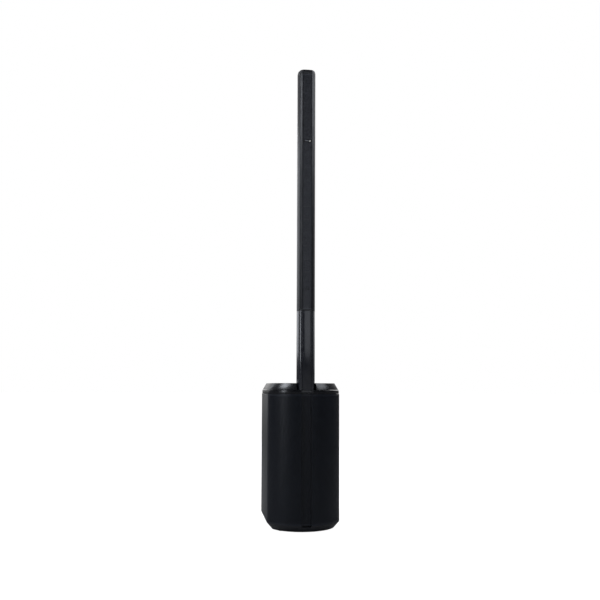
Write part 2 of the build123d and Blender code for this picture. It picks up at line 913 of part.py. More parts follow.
def output_place():
    return channels[1] + channel_spacing / 4, at_row(output_row)


def make_line_output_socket():
    x, z = output_place()
    front = panel_y + jack_bezel
    root = front - output_cavity_depth
    socket = jack_body(x, z, panel_y - jack_depth, panel_y)
    socket += jack_body(x, z, panel_y, front, jack_bezel_rim)
    socket -= rod(x, z, output_cavity_radius, root, front + 1)
    for turn in (90, 210, 330):
        pin = Pos(x, root, z) * Rot(0, -turn, 0) * Pos(output_pin_ring, 0, 0)
        socket += pin * Rot(90, 0, 0) * Cylinder(output_pin_radius, 2 * output_pin_length)
    return socket


def mixer_port_place():
    return channels[0], at_row(output_row)


def make_mixer_port():
    x, z = mixer_port_place()
    front = panel_y + port_proud
    half = port_body / 2
    body = block((x - half, x + half), (panel_y - port_body, front), (z - half, z + half))
    opening_x = (x - port_opening_width / 2, x + port_opening_width / 2)
    opening_z = (z - port_opening_height / 2, z + port_opening_height / 2)
    return body - block(opening_x, (front - port_opening_depth, front + 1), opening_z)


def usb_place():
    return (channels[0] + channels[1]) / 2, at_row(output_row)


def make_usb_port():
    x, z = usb_place()
    body_x = (x - usb_body_width / 2, x + usb_body_width / 2)
    body_z = (z - usb_body_height / 2, z + usb_body_height / 2)
    body = block(body_x, (panel_y - usb_body_depth, panel_y + usb_proud), body_z)
    mouth = RectangleRounded(usb_width, usb_height, usb_corner)
    return body - facing(mouth, x, z, panel_y - usb_depth, panel_y + 2 * usb_proud)


def inlet_place():
    return channels[0], at_row(power_row)


def make_power_inlet():
    x, z = inlet_place()
    front = panel_y + jack_bezel
    root = front - inlet_cavity_depth
    half_x = inlet_width / 2
    half_z = inlet_height / 2
    body_x = (x - half_x - inlet_wall, x + half_x + inlet_wall)
    body_z = (z - half_z - inlet_wall, z + half_z + inlet_wall)
    body = block(body_x, (panel_y - inlet_depth, panel_y), body_z)
    flange = RectangleRounded(inlet_flange_width, inlet_height + 4 * inlet_wall, inlet_flange_corner)
    body += facing(flange, x, z, panel_y, front)
    body -= block((x - half_x, x + half_x), (root, front + 1), (z - half_z, z + half_z))
    for across, drop in ((-1, inlet_pin_drop), (0, -inlet_pin_drop), (1, inlet_pin_drop)):
        pin_x = x + across * inlet_pin_spacing
        pin_z = z - drop
        body += block(
            (pin_x - inlet_pin_width / 2, pin_x + inlet_pin_width / 2),
            (root - 1, root + inlet_pin_length),
            (pin_z - inlet_pin_height / 2, pin_z + inlet_pin_height / 2),
        )
    return body


def panel_cut(place, half_x, half_z):
    """A rectangular hole through the panel, a little larger than what passes through it."""
    x, z = place
    half_x += hole_clearance
    half_z += hole_clearance
    return block((x - half_x, x + half_x), (panel_back_y - 1, panel_y + 1), (z - half_z, z + half_z))


def make_control_panel():
    half = panel_width / 2
    panel = block((-half, half), (panel_back_y, panel_y), (panel_bottom, panel_top))
    cut = (panel_back_y - 1, panel_y + 1)
    for x in channels:
        panel -= rod(x, at_row(knob_row), bush_radius + bush_wall_gap, *cut)
    for x, z in button_places().values():
        panel -= facing(button_outline(button_clearance), x, z, *cut)
    for x in channels[:2]:
        panel -= jack_body(x, at_row(input_row), *cut, hole_clearance)
    panel -= jack_body(*output_place(), *cut, hole_clearance)
    panel -= rod(*line_jack_place(), line_jack_radius + hole_clearance, *cut)
    panel -= rod(*mini_jack_place(), mini_jack_radius + hole_clearance, *cut)
    panel -= panel_cut(mixer_port_place(), port_body / 2, port_body / 2)
    panel -= panel_cut(usb_place(), usb_body_width / 2, usb_body_height / 2)
    panel -= panel_cut(inlet_place(), inlet_width / 2 + inlet_wall, inlet_height / 2 + inlet_wall)
    for x, z in panel_screw_places():
        panel -= rod(x, z, screw_radius + hole_clearance, *cut)
    return panel


def make_encoder_body(x):
    z = at_row(knob_row)
    front = panel_back_y - encoder_behind
    half = encoder_size / 2
    body = block((x - half, x + half), (front - encoder_depth, front), (z - half, z + half))
    body += rod(x, z, bush_radius, front, panel_y + bush_proud)
    bore = (front - encoder_depth + encoder_back_wall, panel_y + 2 * bush_proud)
    return body - rod(x, z, shaft_radius + running_clearance, *bore)


def make_encoder_plunger(x):
    bore_floor = panel_back_y - encoder_behind - encoder_depth + encoder_back_wall
    start = bore_floor + plunger_travel + shaft_end_gap
    end = panel_y + knob_stand_off + knob_bore_depth - shaft_end_gap
    return rod(x, at_row(knob_row), shaft_radius, start, end)


def make_knob(x):
    z = at_row(knob_row)
    start = panel_y + knob_stand_off
    end = start + knob_length
    knob = rod(x, z, knob_radius, start, end)
    knob = chamfer(knob.faces().sort_by(Axis.Y)[-1].edges(), knob_edge)
    knob -= rod(x, z, shaft_radius + running_clearance, start - 1, start + knob_bore_depth)
    pointer_x = (x - pointer_width / 2, x + pointer_width / 2)
    return knob - block(pointer_x, (end - pointer_depth, end + 1), (z + pointer_from, z + knob_radius + 1))


def make_case_screws():
    screws = []
    for x, z in panel_screw_places():
        screw = rod(x, z, screw_radius, panel_y - screw_length, panel_y)
        screw += rod(x, z, screw_head_radius, panel_y, panel_y + screw_head_height)
        screws.append(screw - rod(x, z, screw_radius, panel_y + screw_head_height / 2, rear_y))
    return screws


# Boards inside the cabinet


def make_main_board():
    y = panel_y - jack_depth - main_board_behind
    half = panel_width / 2 - main_board_margin
    board_z = (panel_bottom + main_board_margin, panel_top - main_board_margin)
    board = block((-half, half), (y, y + board_thickness), board_z)
    chip_z = (panel_middle - chip_size / 2, panel_middle + chip_size / 2)
    plug_z = (at_row(power_row), at_row(power_row) + connector_height)
    for x in channels:
        board += block((x - chip_size / 2, x + chip_size / 2), (y - chip_height, y), chip_z)
        plug_x = (x - connector_width / 2, x + connector_width / 2)
        board += block(plug_x, (y, y + connector_depth), plug_z)
    return board


def make_power_board():
    y = power_board_y
    half = power_board_width / 2
    low = power_board_bottom + power_part_lift
    board = block((-half, half), (y, y + board_thickness), (power_board_bottom, power_board_top))
    transformer_x = (transformer_left, transformer_left + transformer_width)
    board += block(transformer_x, (y - transformer_depth, y), (low, low + transformer_width))
    for x in capacitor_places:
        board += rod(x, low + transformer_width / 2, capacitor_radius, y - capacitor_height, y)
    chip_low = power_board_top - power_chip_drop
    chip_x = (-power_chip_width / 2, power_chip_width / 2)
    return board + block(chip_x, (y - power_chip_depth, y), (chip_low, chip_low + power_chip_height))


def make_amplifier_heatsink():
    back = rear_y - cabinet_wall
    half = heatsink_width / 2
    height = (power_board_bottom, power_board_top)
    sink = block((-half, half), (back - heatsink_plate, back), height)
    step = (heatsink_width - heatsink_fin_thickness) / (heatsink_fin_count - 1)
    fin_y = (back - heatsink_plate - heatsink_fin, back - heatsink_plate)
    for i in range(heatsink_fin_count):
        x = -half + i * step
        sink += block((x, x + heatsink_fin_thickness), fin_y, height)
    return sink


def all_nodes():
    nodes = {
        "base_pan": make_base_pan(),
        "rubber_feet": make_rubber_feet(),
        "cabinet_shell": make_cabinet_shell(),
        "front_baffle": make_front_baffle(),
        "front_grille": make_front_grille(),
        "trim_ring": make_trim_ring(),
        "top_cap": make_top_cap(),
        "handle_grip": make_handle_grip(),
        "column_socket": make_column_socket(),
        "socket_contacts": make_socket_contacts(),
        "woofer_basket": make_woofer_basket(),
        "woofer_magnet": make_woofer_magnet(),
        "woofer_surround": make_woofer_surround(),
        "woofer_spider": make_woofer_spider(),
        "woofer_cone": make_woofer_cone(),
        "dust_cap": make_dust_cap(),
        "voice_coil": make_voice_coil(),
        "port_tube": make_port_tube(),
        "control_panel": make_control_panel(),
        "encoder_bodies": [make_encoder_body(x) for x in channels],
        "line_input_jack": make_line_input_jack(),
        "aux_jack": make_aux_jack(),
        "line_output_socket": make_line_output_socket(),
        "mixer_port": make_mixer_port(),
        "usb_port": make_usb_port(),
        "power_inlet": make_power_inlet(),
        "main_board": make_main_board(),
        "power_board": make_power_board(),
        "amplifier_heatsink": make_amplifier_heatsink(),
        "case_screws": make_case_screws(),
        "extension_shell": make_extension_shell(),
        "extension_lower_plug": make_extension_lower_plug(),
        "extension_upper_plug": make_extension_upper_plug(),
        "extension_wiring": make_extension_wiring(),
        "array_housing": make_array_housing(),
        "array_grille": make_array_grille(),
        "array_top_cap": make_array_top_cap(),
        "driver_baskets": make_driver_baskets(),
        "driver_surrounds": make_driver_surrounds(),
        "driver_cones": make_driver_cones(),
        "driver_magnets": make_driver_magnets(),
        "badge_plate": make_badge_plate(),
    }
    for number, x in enumerate(channels, start=1):
        nodes[f"encoder_plunger_{number}"] = make_encoder_plunger(x)
        nodes[f"knob_{number}"] = make_knob(x)
    for number, x in enumerate(channels[:2], start=1):
        nodes[f"combo_jack_{number}"] = make_combo_jack(x, at_row(input_row))
        nodes[f"combo_latch_{number}"] = make_combo_latch(x, at_row(input_row))
    for name, (x, z) in button_places().items():
        nodes[name] = make_button(x, z)
    return nodes


os.makedirs("parts", exist_ok=True)
for node_name, shape in all_nodes().items():
    solids = Compound(children=list(shape)) if isinstance(shape, list) else shape
    export_step(solids, f"parts/{node_name}.step")
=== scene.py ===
import bpy
import bmesh
import json
import math
from mathutils import Matrix, Vector


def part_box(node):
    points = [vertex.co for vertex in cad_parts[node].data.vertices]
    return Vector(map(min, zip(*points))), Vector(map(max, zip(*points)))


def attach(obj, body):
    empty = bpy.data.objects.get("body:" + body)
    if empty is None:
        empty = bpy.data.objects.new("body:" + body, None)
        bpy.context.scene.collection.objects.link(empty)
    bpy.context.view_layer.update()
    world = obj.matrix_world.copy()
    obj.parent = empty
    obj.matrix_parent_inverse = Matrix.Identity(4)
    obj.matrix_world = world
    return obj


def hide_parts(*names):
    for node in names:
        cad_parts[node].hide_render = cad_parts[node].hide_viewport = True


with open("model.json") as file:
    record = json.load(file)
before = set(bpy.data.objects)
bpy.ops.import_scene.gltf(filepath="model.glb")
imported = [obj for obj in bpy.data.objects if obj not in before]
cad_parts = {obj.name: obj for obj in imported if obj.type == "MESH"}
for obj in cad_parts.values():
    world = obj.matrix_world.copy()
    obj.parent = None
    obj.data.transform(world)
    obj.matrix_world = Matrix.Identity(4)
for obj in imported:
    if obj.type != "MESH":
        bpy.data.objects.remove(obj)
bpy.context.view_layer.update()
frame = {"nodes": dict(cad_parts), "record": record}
mm = 0.001
# how far a cutter reaches past what it cuts
past = 10 * mm
# radius at which a turned profile starts, so that its ends stay rings
tip = 0.01 * mm
print("frame loaded:", len(frame["nodes"]), "nodes")

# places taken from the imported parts
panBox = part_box("base_pan")
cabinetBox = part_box("cabinet_shell")
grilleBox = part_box("front_grille")
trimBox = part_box("trim_ring")
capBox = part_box("top_cap")
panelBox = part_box("control_panel")
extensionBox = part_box("extension_shell")
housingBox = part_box("array_housing")
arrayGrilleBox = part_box("array_grille")
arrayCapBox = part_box("array_top_cap")

basePlan = {
    "halfWidth": cabinetBox[1].x,
    "front": -cabinetBox[1].y,
    "rear": cabinetBox[1].y,
    "crease": grilleBox[1].y,
    "rearCorner": 40 * mm,
    "arcSteps": 48,
    "cornerSteps": 8,
}
columnPlan = {
    "front": extensionBox[0].y,
    "flatHalf": 20.5 * mm,
    "bevelHalf": arrayGrilleBox[1].x,
    "bevelDepth": 6 * mm,
    "halfWidth": extensionBox[1].x,
    "widestFrom": 30 * mm,
    "widestTo": 45 * mm,
    "taperEnd": 90 * mm,
    "depth": extensionBox[1].y - extensionBox[0].y,
    "rearHalf": 24 * mm,
}


# small helpers

def linear(hexText):
    # sRGB hex to the linear values that shaders take
    parts = [int(hexText[i:i + 2], 16) / 255 for i in (1, 3, 5)]
    return [c / 12.92 if c <= 0.04045 else ((c + 0.055) / 1.055) ** 2.4 for c in parts] + [1.0]


def setSockets(tree, node, sockets):
    # links a socket, or a node's first live output, and sets anything else as a value
    for key, value in sockets.items():
        if isinstance(value, bpy.types.Node):
            value = next(output for output in value.outputs if output.enabled)
        if isinstance(value, bpy.types.NodeSocket):
            tree.links.new(value, node.inputs[key])
        else:
            node.inputs[key].default_value = value


def addNode(tree, kind, sockets=None, **settings):
    node = tree.nodes.new(kind if "Node" in kind else "ShaderNode" + kind)
    for key, value in settings.items():
        setattr(node, key, value)
    setSockets(tree, node, sockets or {})
    return node


def meshFrom(name, points, faces, smoothAngle=None):
    mesh = bpy.data.meshes.new(name)
    mesh.from_pydata([tuple(p) for p in points], [], faces)
    bm = bmesh.new()
    bm.from_mesh(mesh)
    bmesh.ops.remove_doubles(bm, verts=bm.verts, dist=1e-6)
    bmesh.ops.recalc_face_normals(bm, faces=bm.faces)
    bm.to_mesh(mesh)
    bm.free()
    piece = bpy.data.objects.new(name, mesh)
    bpy.context.scene.collection.objects.link(piece)
    if smoothAngle:
        mesh.polygons.foreach_set("use_smooth", [True] * len(mesh.polygons))
        mesh.set_sharp_from_angle(angle=math.radians(smoothAngle))
    return piece


def bake(piece, smoothAngle=35):
    # applies every modifier, so the piece is a plain mesh from here on
    evaluated = piece.evaluated_get(bpy.context.evaluated_depsgraph_get())
    mesh = bpy.data.meshes.new_from_object(evaluated)
    piece.modifiers.clear()
    old = piece.data
    piece.data = mesh
    bpy.data.meshes.remove(old)
    if smoothAngle:
        mesh.polygons.foreach_set("use_smooth", [True] * len(mesh.polygons))
        mesh.set_sharp_from_angle(angle=math.radians(smoothAngle))
    return piece


def cut(piece, cutters, operation="DIFFERENCE"):
    for cutter in cutters:
        mod = piece.modifiers.new("cut", "BOOLEAN")
        mod.object = cutter
        mod.operation = operation
        mod.solver = "EXACT"
    bake(piece, None)
    for cutter in cutters:
        bpy.data.objects.remove(cutter)
    return piece


def roundEdges(piece, width, segments=3, angle=28):
    mod = piece.modifiers.new("edges", "BEVEL")
    mod.width = width
    mod.segments = segments
    mod.limit_method = "ANGLE"
    mod.angle_limit = math.radians(angle)
    mod.harden_normals = False
    return bake(piece)


def dress(piece, material, body, slot, *nodes):
    # finish, body and the parts that a piece stands for
    piece.data.materials.clear()
    piece.data.materials.append(material)
    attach(piece, body)
    if nodes:
        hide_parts(*nodes)
    return piece


def loft(name, rings, closedEnds=True):
    # skins rings that have the same number of points
    points = [p for ring in rings for p in ring]
    count = len(rings[0])
    faces = []
    for level in range(len(rings) - 1):
        for i in range(count):
            a = level * count + i
            b = level * count + (i + 1) % count
            faces.append((a, b, b + count, a + count))
    if closedEnds:
        faces.append(tuple(range(count)))
        faces.append(tuple(len(points) - count + i for i in range(count)))
    return meshFrom(name, points, faces)


def tube(name, outer, inner, low, high):
    # a prism with a hole right through it, both outlines with the same number of points
    rings = [
        [Vector((x, y, z)) for x, y in outline]
        for outline, z in ((outer, low), (outer, high), (inner, high), (inner, low), (outer, low))
    ]
    return loft(name, rings, closedEnds=False)


def prism(name, outline, low, high):
    return loft(name, [[Vector((x, y, z)) for x, y in outline] for z in (low, high)])


def box(name, low, high):
    outline = [(low[0], low[1]), (high[0], low[1]), (high[0], high[1]), (low[0], high[1])]
    return prism(name, outline, low[2], high[2])


def roundedOutline(width, height, corner, steps=5):
    # a rectangle with round corners about the origin
    points = []
    for cx, cy, start in ((1, 1, 0), (-1, 1, 90), (-1, -1, 180), (1, -1, 270)):
        for i in range(steps + 1):
            a = math.radians(start + 90 * i / steps)
            px = cx * (width / 2 - corner) + corner * math.cos(a)
            py = cy * (height / 2 - corner) + corner * math.sin(a)
            points.append((px, py))
    return points


def facingPrism(name, outline, x, z, yLow, yHigh):
    # an outline across X and up Z, run along Y
    rings = [[Vector((x + u, y, z + v)) for u, v in outline] for y in (yLow, yHigh)]
    return loft(name, rings)


def facingFrame(name, outer, inner, z, start, end):
    # the strip between two such outlines, run along Y
    rings = []
    for outline, y in ((outer, start), (outer, end), (inner, end), (inner, start), (outer, start)):
        rings.append([Vector((u, y, z + v)) for u, v in outline])
    return loft(name, rings, closedEnds=False)


def turned(name, profile, centre, steps=48, closedEnds=True):
    # spins (radius, y) points about a line along Y
    rings = []
    for radius, y in profile:
        ring = []
        for i in range(steps):
            a = 2 * math.pi * i / steps
            ring.append(Vector((centre.x + radius * math.cos(a), y, centre.z + radius * math.sin(a))))
        rings.append(ring)
    return loft(name, rings, closedEnds)


def openRing(name, inner, outer, low, high, centre, steps=48):
    # a flat ring about a line along Y
    profile = [(inner, low), (outer, low), (outer, high), (inner, high), (inner, low)]
    return turned(name, profile, centre, steps, closedEnds=False)


# outlines of the base and the column

def planOutline(inset=0.0):
    plan = basePlan
    half = plan["halfWidth"] - inset
    bulge = plan["crease"] - plan["front"]
    radius = (plan["halfWidth"] ** 2 + bulge ** 2) / (2 * bulge)
    centreY = plan["front"] + radius
    arc = radius - inset
    spread = math.asin(half / arc)
    points = []
    for i in range(plan["arcSteps"] + 1):
        a = -spread + 2 * spread * i / plan["arcSteps"]
        points.append((arc * math.sin(a), centreY - arc * math.cos(a)))
    corner = plan["rearCorner"] - inset
    rear = plan["rear"] - inset
    for side, start in ((1, 0), (-1, 90)):
        for i in range(plan["cornerSteps"] + 1):
            a = math.radians(start + 90 * i / plan["cornerSteps"])
            x = side * (half - corner) + corner * math.cos(a)
            points.append((x, rear - corner + corner * math.sin(a)))
    return points


def planRing(inset, z):
    return [Vector((x, y, z)) for x, y in planOutline(inset)]


def columnOutline(grow=0.0):
    # the section of the column, grown along each corner's own mitre
    plan = columnPlan
    right = [
        (plan["flatHalf"], 0),
        (plan["bevelHalf"], plan["bevelDepth"]),
        (plan["halfWidth"], plan["widestFrom"]),
        (plan["halfWidth"], plan["widestTo"]),
        (plan["bevelHalf"], plan["taperEnd"]),
        (plan["rearHalf"], plan["depth"]),
    ]
    points = [Vector((x, y + plan["front"])) for x, y in right]
    points += [Vector((-x, y + plan["front"])) for x, y in reversed(right)]
    grown = []
    for i, p in enumerate(points):
        before = (p - points[i - 1]).normalized()
        after = (points[(i + 1) % len(points)] - p).normalized()
        outA = Vector((before.y, -before.x))
        outB = Vector((after.y, -after.x))
        mitre = (outA + outB).normalized()
        grown.append(p + mitre * grow / max(mitre.dot(outA), 0.3))
    return [(p.x, p.y) for p in grown]


# finishes

def edgeMask(tree, radius):
    # 0 on flat faces, rising to 1 along sharp edges
    soft = addNode(tree, "Bevel", {"Radius": radius}, samples=4)
    true = addNode(tree, "NewGeometry")
    dot = addNode(tree, "VectorMath", {0: soft.outputs["Normal"], 1: true.outputs["Normal"]},
                  operation="DOT_PRODUCT")
    mask = addNode(tree, "MapRange", {"Value": dot.outputs["Value"], "From Min": 0.995, "From Max": 0.80,
                                      "To Min": 0.0, "To Max": 1.0}, clamp=True)
    return mask.outputs["Result"], soft.outputs["Normal"]


def startMaterial(name):
    material = bpy.data.materials.new(name)
    material.use_nodes = True
    tree = material.node_tree
    tree.nodes.clear()
    where = addNode(tree, "TexCoord")
    shader = addNode(tree, "BsdfPrincipled")
    addNode(tree, "OutputMaterial", {"Surface": shader})
    return material, tree, where.outputs["Object"], shader


plasticLook = {"ior": 1.52, "roughSpread": 0.06, "wear": 0.5, "bump": 0.2}


def mouldedPlastic(name, own):
    # a moulded plastic: grain from the tool, slight shade drift, rubbed edges
    look = {**plasticLook, **own}
    material, tree, where, shader = startMaterial(name)
    grain = addNode(tree, "TexNoise", {"Vector": where, "Scale": 1 / look["grain"], "Detail": 4.0,
                                       "Roughness": 0.6})
    pits = addNode(tree, "TexVoronoi", {"Vector": where, "Scale": 1 / (2.2 * look["grain"]),
                                        "Randomness": 1.0}, feature="SMOOTH_F1")
    drift = addNode(tree, "TexNoise", {"Vector": where, "Scale": 1 / look["drift"], "Detail": 3.0,
                                       "Roughness": 0.55})
    smear = addNode(tree, "Mapping", {"Vector": where, "Scale": (1.0, 1.0, 0.12)})
    streaks = addNode(tree, "TexNoise", {"Vector": smear, "Scale": 1 / (6 * look["grain"]), "Detail": 5.0,
                                         "Roughness": 0.7})
    mask, softNormal = edgeMask(tree, look["edge"])
    shade = addNode(tree, "Mix", {"Factor": drift, "A": linear(look["dark"]), "B": linear(look["light"])},
                    data_type="RGBA")
    worn = addNode(tree, "Math", {0: mask, 1: streaks}, operation="MULTIPLY")
    wornMore = addNode(tree, "Math", {0: worn, 1: look["wear"]}, operation="MULTIPLY")
    colour = addNode(tree, "Mix", {"Factor": wornMore, "A": shade, "B": linear(look["rubbed"])},
                     data_type="RGBA")
    rough = addNode(tree, "MapRange", {"Value": streaks, "From Min": 0.3, "From Max": 0.7,
                                       "To Min": look["rough"] - look["roughSpread"],
                                       "To Max": look["rough"] + look["roughSpread"]})
    height = addNode(tree, "Math", {0: pits, 2: grain, 1: 0.8}, operation="MULTIPLY_ADD")
    bump = addNode(tree, "Bump", {"Height": height, "Normal": softNormal, "Strength": look["bump"],
                                  "Distance": look["grain"] * 0.25})
    setSockets(tree, shader, {"IOR": look["ior"], "Base Color": colour, "Roughness": rough, "Normal": bump})
    return material


metalLook = {"metallic": 0.0, "ior": 1.5, "roughSpread": 0.08, "stretch": (1, 1, 1), "bump": 0.15}


def coatedMetal(name, own):
    # metal or coat: fine orange peel or grain along one way, with slight roughness drift
    look = {**metalLook, **own}
    material, tree, where, shader = startMaterial(name)
    if look["metallic"] < 0.5:
        shader.inputs["IOR"].default_value = look["ior"]
    stretch = addNode(tree, "Mapping", {"Vector": where, "Scale": look["stretch"]})
    grain = addNode(tree, "TexNoise", {"Vector": stretch, "Scale": 1 / look["grain"], "Detail": 5.0,
                                       "Roughness": 0.62})
    drift = addNode(tree, "TexNoise", {"Vector": where, "Scale": 1 / look["drift"], "Detail": 2.0})
    shade = addNode(tree, "Mix", {"Factor": drift, "A": linear(look["dark"]), "B": linear(look["light"])},
                    data_type="RGBA")
    rough = addNode(tree, "MapRange", {"Value": grain, "From Min": 0.25, "From Max": 0.75,
                                       "To Min": look["rough"] - look["roughSpread"],
                                       "To Max": look["rough"] + look["roughSpread"]})
    bump = addNode(tree, "Bump", {"Height": grain, "Strength": look["bump"],
                                  "Distance": look["grain"] * 0.2})
    setSockets(tree, shader, {"Metallic": look["metallic"], "Base Color": shade, "Roughness": rough,
                              "Normal": bump})
    return material


def wovenCloth(name, look):
    # over and under threads from two sine waves, with fuzz
    material, tree, where, shader = startMaterial(name)
    split = addNode(tree, "SeparateXYZ", {"Vector": where})
    rate = 2 * math.pi / look["thread"]
    waves = []
    for axis, turn in (("X", 0.0), ("Z", math.pi / 2)):
        scaled = addNode(tree, "Math", {0: split.outputs[axis], 1: rate, 2: turn}, operation="MULTIPLY_ADD")
        waves.append(addNode(tree, "Math", {0: scaled}, operation="SINE"))
    weave = addNode(tree, "Math", {0: waves[0], 1: waves[1]}, operation="MULTIPLY")
    fuzz = addNode(tree, "TexNoise", {"Vector": where, "Scale": 3 / look["thread"], "Detail": 3.0})
    both = addNode(tree, "Math", {0: fuzz, 2: weave, 1: 0.5}, operation="MULTIPLY_ADD")
    shade = addNode(tree, "MapRange", {"Value": both, "From Min": -1.0, "From Max": 1.4})
    colour = addNode(tree, "Mix", {"Factor": shade, "A": linear(look["dark"]), "B": linear(look["light"])},
                     data_type="RGBA")
    bump = addNode(tree, "Bump", {"Height": both, "Strength": look["bump"],
                                  "Distance": look["thread"] * 0.3})
    setSockets(tree, shader, {"Sheen Weight": look["sheen"], "Roughness": look["rough"], "Base Color": colour,
                              "Normal": bump})
    return material


# black ABS off a spark-eroded tool: dull, with a fine leather grain (real grain 0.4 mm, drawn at 0.9 mm)
grainedAbs = mouldedPlastic("grainedAbs", {
    "dark": "#0f1218", "light": "#161922", "rubbed": "#33363c", "rough": 0.46, "roughSpread": 0.07,
    "grain": 0.9 * mm, "drift": 90 * mm, "edge": 1.2 * mm, "wear": 0.7, "bump": 0.35,
})
# the cap is the same plastic off a finer tool, so it picks up more of the light
fineAbs = mouldedPlastic("fineAbs", {
    "dark": "#121317", "light": "#191b20", "rubbed": "#4b4d53", "ior": 1.53, "rough": 0.25,
    "grain": 0.6 * mm, "drift": 70 * mm, "edge": 1.0 * mm, "wear": 0.6, "bump": 0.22,
})
# satin black ABS of the array; on the base pan its paler colour is painted reflection of the floor
satinAbs = mouldedPlastic("satinAbs", {
    "dark": "#1a1b20", "light": "#22242a", "rubbed": "#3c3d44", "rough": 0.33, "grain": 0.5 * mm,
    "drift": 120 * mm, "edge": 0.8 * mm, "bump": 0.15,
})
# polished black polycarbonate of the extension: clear reflections, faint handling haze
polishedPc = mouldedPlastic("polishedPc", {
    "dark": "#1e2027", "light": "#282a33", "rubbed": "#55575f", "ior": 1.58, "rough": 0.17,
    "grain": 2.4 * mm, "drift": 60 * mm, "edge": 0.8 * mm, "wear": 0.4, "bump": 0.05,
})
# matt ABS of the control panel
panelAbs = mouldedPlastic("panelAbs", {
    "dark": "#17191d", "light": "#1c1e24", "rubbed": "#36373b", "rough": 0.55, "grain": 0.7 * mm,
    "drift": 50 * mm, "edge": 0.5 * mm, "bump": 0.3,
})
# black nylon of sockets and driver frames
nylonBlack = mouldedPlastic("nylonBlack", {
    "dark": "#101012", "light": "#18181a", "rubbed": "#3d3d40", "ior": 1.53, "rough": 0.38,
    "roughSpread": 0.08, "grain": 0.5 * mm, "drift": 15 * mm, "edge": 0.5 * mm, "wear": 0.8,
})
# black rubber of the feet and the grip
softRubber = mouldedPlastic("softRubber", {
    "dark": "#141414", "light": "#1d1d1e", "rubbed": "#303031", "ior": 1.50, "rough": 0.72,
    "roughSpread": 0.08, "grain": 0.8 * mm, "drift": 25 * mm, "edge": 0.6 * mm, "wear": 0.6, "bump": 0.35,
})
# satin plastic of the knobs
knobPlastic = mouldedPlastic("knobPlastic", {
    "dark": "#1a1a1c", "light": "#222225", "rubbed": "#4b4b4f", "ior": 1.50, "rough": 0.42,
    "roughSpread": 0.08, "grain": 0.4 * mm, "drift": 10 * mm, "edge": 0.4 * mm, "wear": 0.8,
})
# grey silicone of the keys
keySilicone = mouldedPlastic("keySilicone", {
    "dark": "#54565a", "light": "#66686d", "rubbed": "#85878c", "ior": 1.43, "rough": 0.48,
    "grain": 0.4 * mm, "drift": 6 * mm, "edge": 0.4 * mm, "bump": 0.15,
})
# clear diffusing plastic of the light rings and lenses
ringLens = mouldedPlastic("ringLens", {
    "dark": "#a8b4b6", "light": "#c3ccce", "rubbed": "#e4e8e9", "ior": 1.49, "rough": 0.22,
    "roughSpread": 0.05, "grain": 0.6 * mm, "drift": 5 * mm, "edge": 0.3 * mm, "wear": 0.4, "bump": 0.1,
})
# pale screen-printed ink
panelInk = mouldedPlastic("panelInk", {
    "dark": "#8e9194", "light": "#a3a6a9", "rubbed": "#77797c", "ior": 1.48, "rough": 0.5,
    "roughSpread": 0.05, "grain": 0.5 * mm, "drift": 12 * mm, "edge": 0.2 * mm, "wear": 0.4, "bump": 0.1,
})
# pressed paper fibre of the cones
coneFibre = mouldedPlastic("coneFibre", {
    "dark": "#232324", "light": "#3a3a3a", "rubbed": "#4d4d4c", "ior": 1.45, "rough": 0.8,
    "roughSpread": 0.1, "grain": 1.4 * mm, "drift": 8 * mm, "edge": 0.6 * mm, "wear": 0.4, "bump": 0.6,
})
# green lacquer on circuit boards
boardLaminate = mouldedPlastic("boardLaminate", {
    "dark": "#0c3a20", "light": "#135030", "rubbed": "#2f7a50", "ior": 1.55, "rough": 0.32,
    "roughSpread": 0.08, "grain": 1.2 * mm, "drift": 18 * mm, "edge": 0.5 * mm,
})
# black powder coat on perforated steel: low sheen with a slight orange peel
powderCoat = coatedMetal("powderCoat", {
    "dark": "#0d131e", "light": "#131a27", "rough": 0.42, "roughSpread": 0.06, "grain": 0.8 * mm,
    "drift": 120 * mm, "bump": 0.2,
})
# the array's sheet: a thin satin paint, a little metallic; its grey, lighter than the base grille's black, is
# painted light for the brighter front of the array
paintedLightCoat = coatedMetal("paintedLightCoat", {
    "dark": "#404248", "light": "#50525a", "metallic": 0.15, "rough": 0.34, "roughSpread": 0.06,
    "grain": 0.7 * mm, "drift": 150 * mm,
})
# black lacquer on stamped steel baskets
stampedSteel = coatedMetal("stampedSteel", {
    "dark": "#17181a", "light": "#242527", "rough": 0.5, "grain": 1.0 * mm, "drift": 30 * mm, "bump": 0.3,
})
# zinc plate on magnets and small screws
zincPlate = coatedMetal("zincPlate", {
    "dark": "#8d9093", "light": "#b4b6b4", "metallic": 1.0, "rough": 0.38, "roughSpread": 0.1,
    "grain": 2.0 * mm, "drift": 14 * mm,
})
# bright nickel of the jacks
nickelPlate = coatedMetal("nickelPlate", {
    "dark": "#b3b0a8", "light": "#cfccc4", "metallic": 1.0, "rough": 0.2, "roughSpread": 0.06,
    "grain": 0.4 * mm, "drift": 6 * mm, "bump": 0.08,
})
# bare aluminium, grain running up the extrusion
extrudedAluminium = coatedMetal("extrudedAluminium", {
    "dark": "#9fa2a4", "light": "#c2c4c6", "metallic": 1.0, "rough": 0.34, "grain": 0.8 * mm,
    "drift": 30 * mm, "stretch": (1, 1, 0.03), "bump": 0.2,
})
# black oxide on screws
oxideSteel = coatedMetal("oxideSteel", {
    "dark": "#1c1c1d", "light": "#2e2d2b", "metallic": 0.85, "rough": 0.36, "grain": 0.3 * mm,
    "drift": 3 * mm,
})
# brass of the sprung contacts
tinnedBrass = coatedMetal("tinnedBrass", {
    "dark": "#a98243", "light": "#cda768", "metallic": 1.0, "rough": 0.3, "grain": 0.5 * mm,
    "drift": 6 * mm, "bump": 0.1,
})
# brushed plate of the badge, grain running along its length
brushedBadge = coatedMetal("brushedBadge", {
    "dark": "#9a9da2", "light": "#c9ccd0", "metallic": 1.0, "rough": 0.3, "grain": 0.3 * mm,
    "drift": 9 * mm, "stretch": (0.04, 1, 1), "bump": 0.25,
})
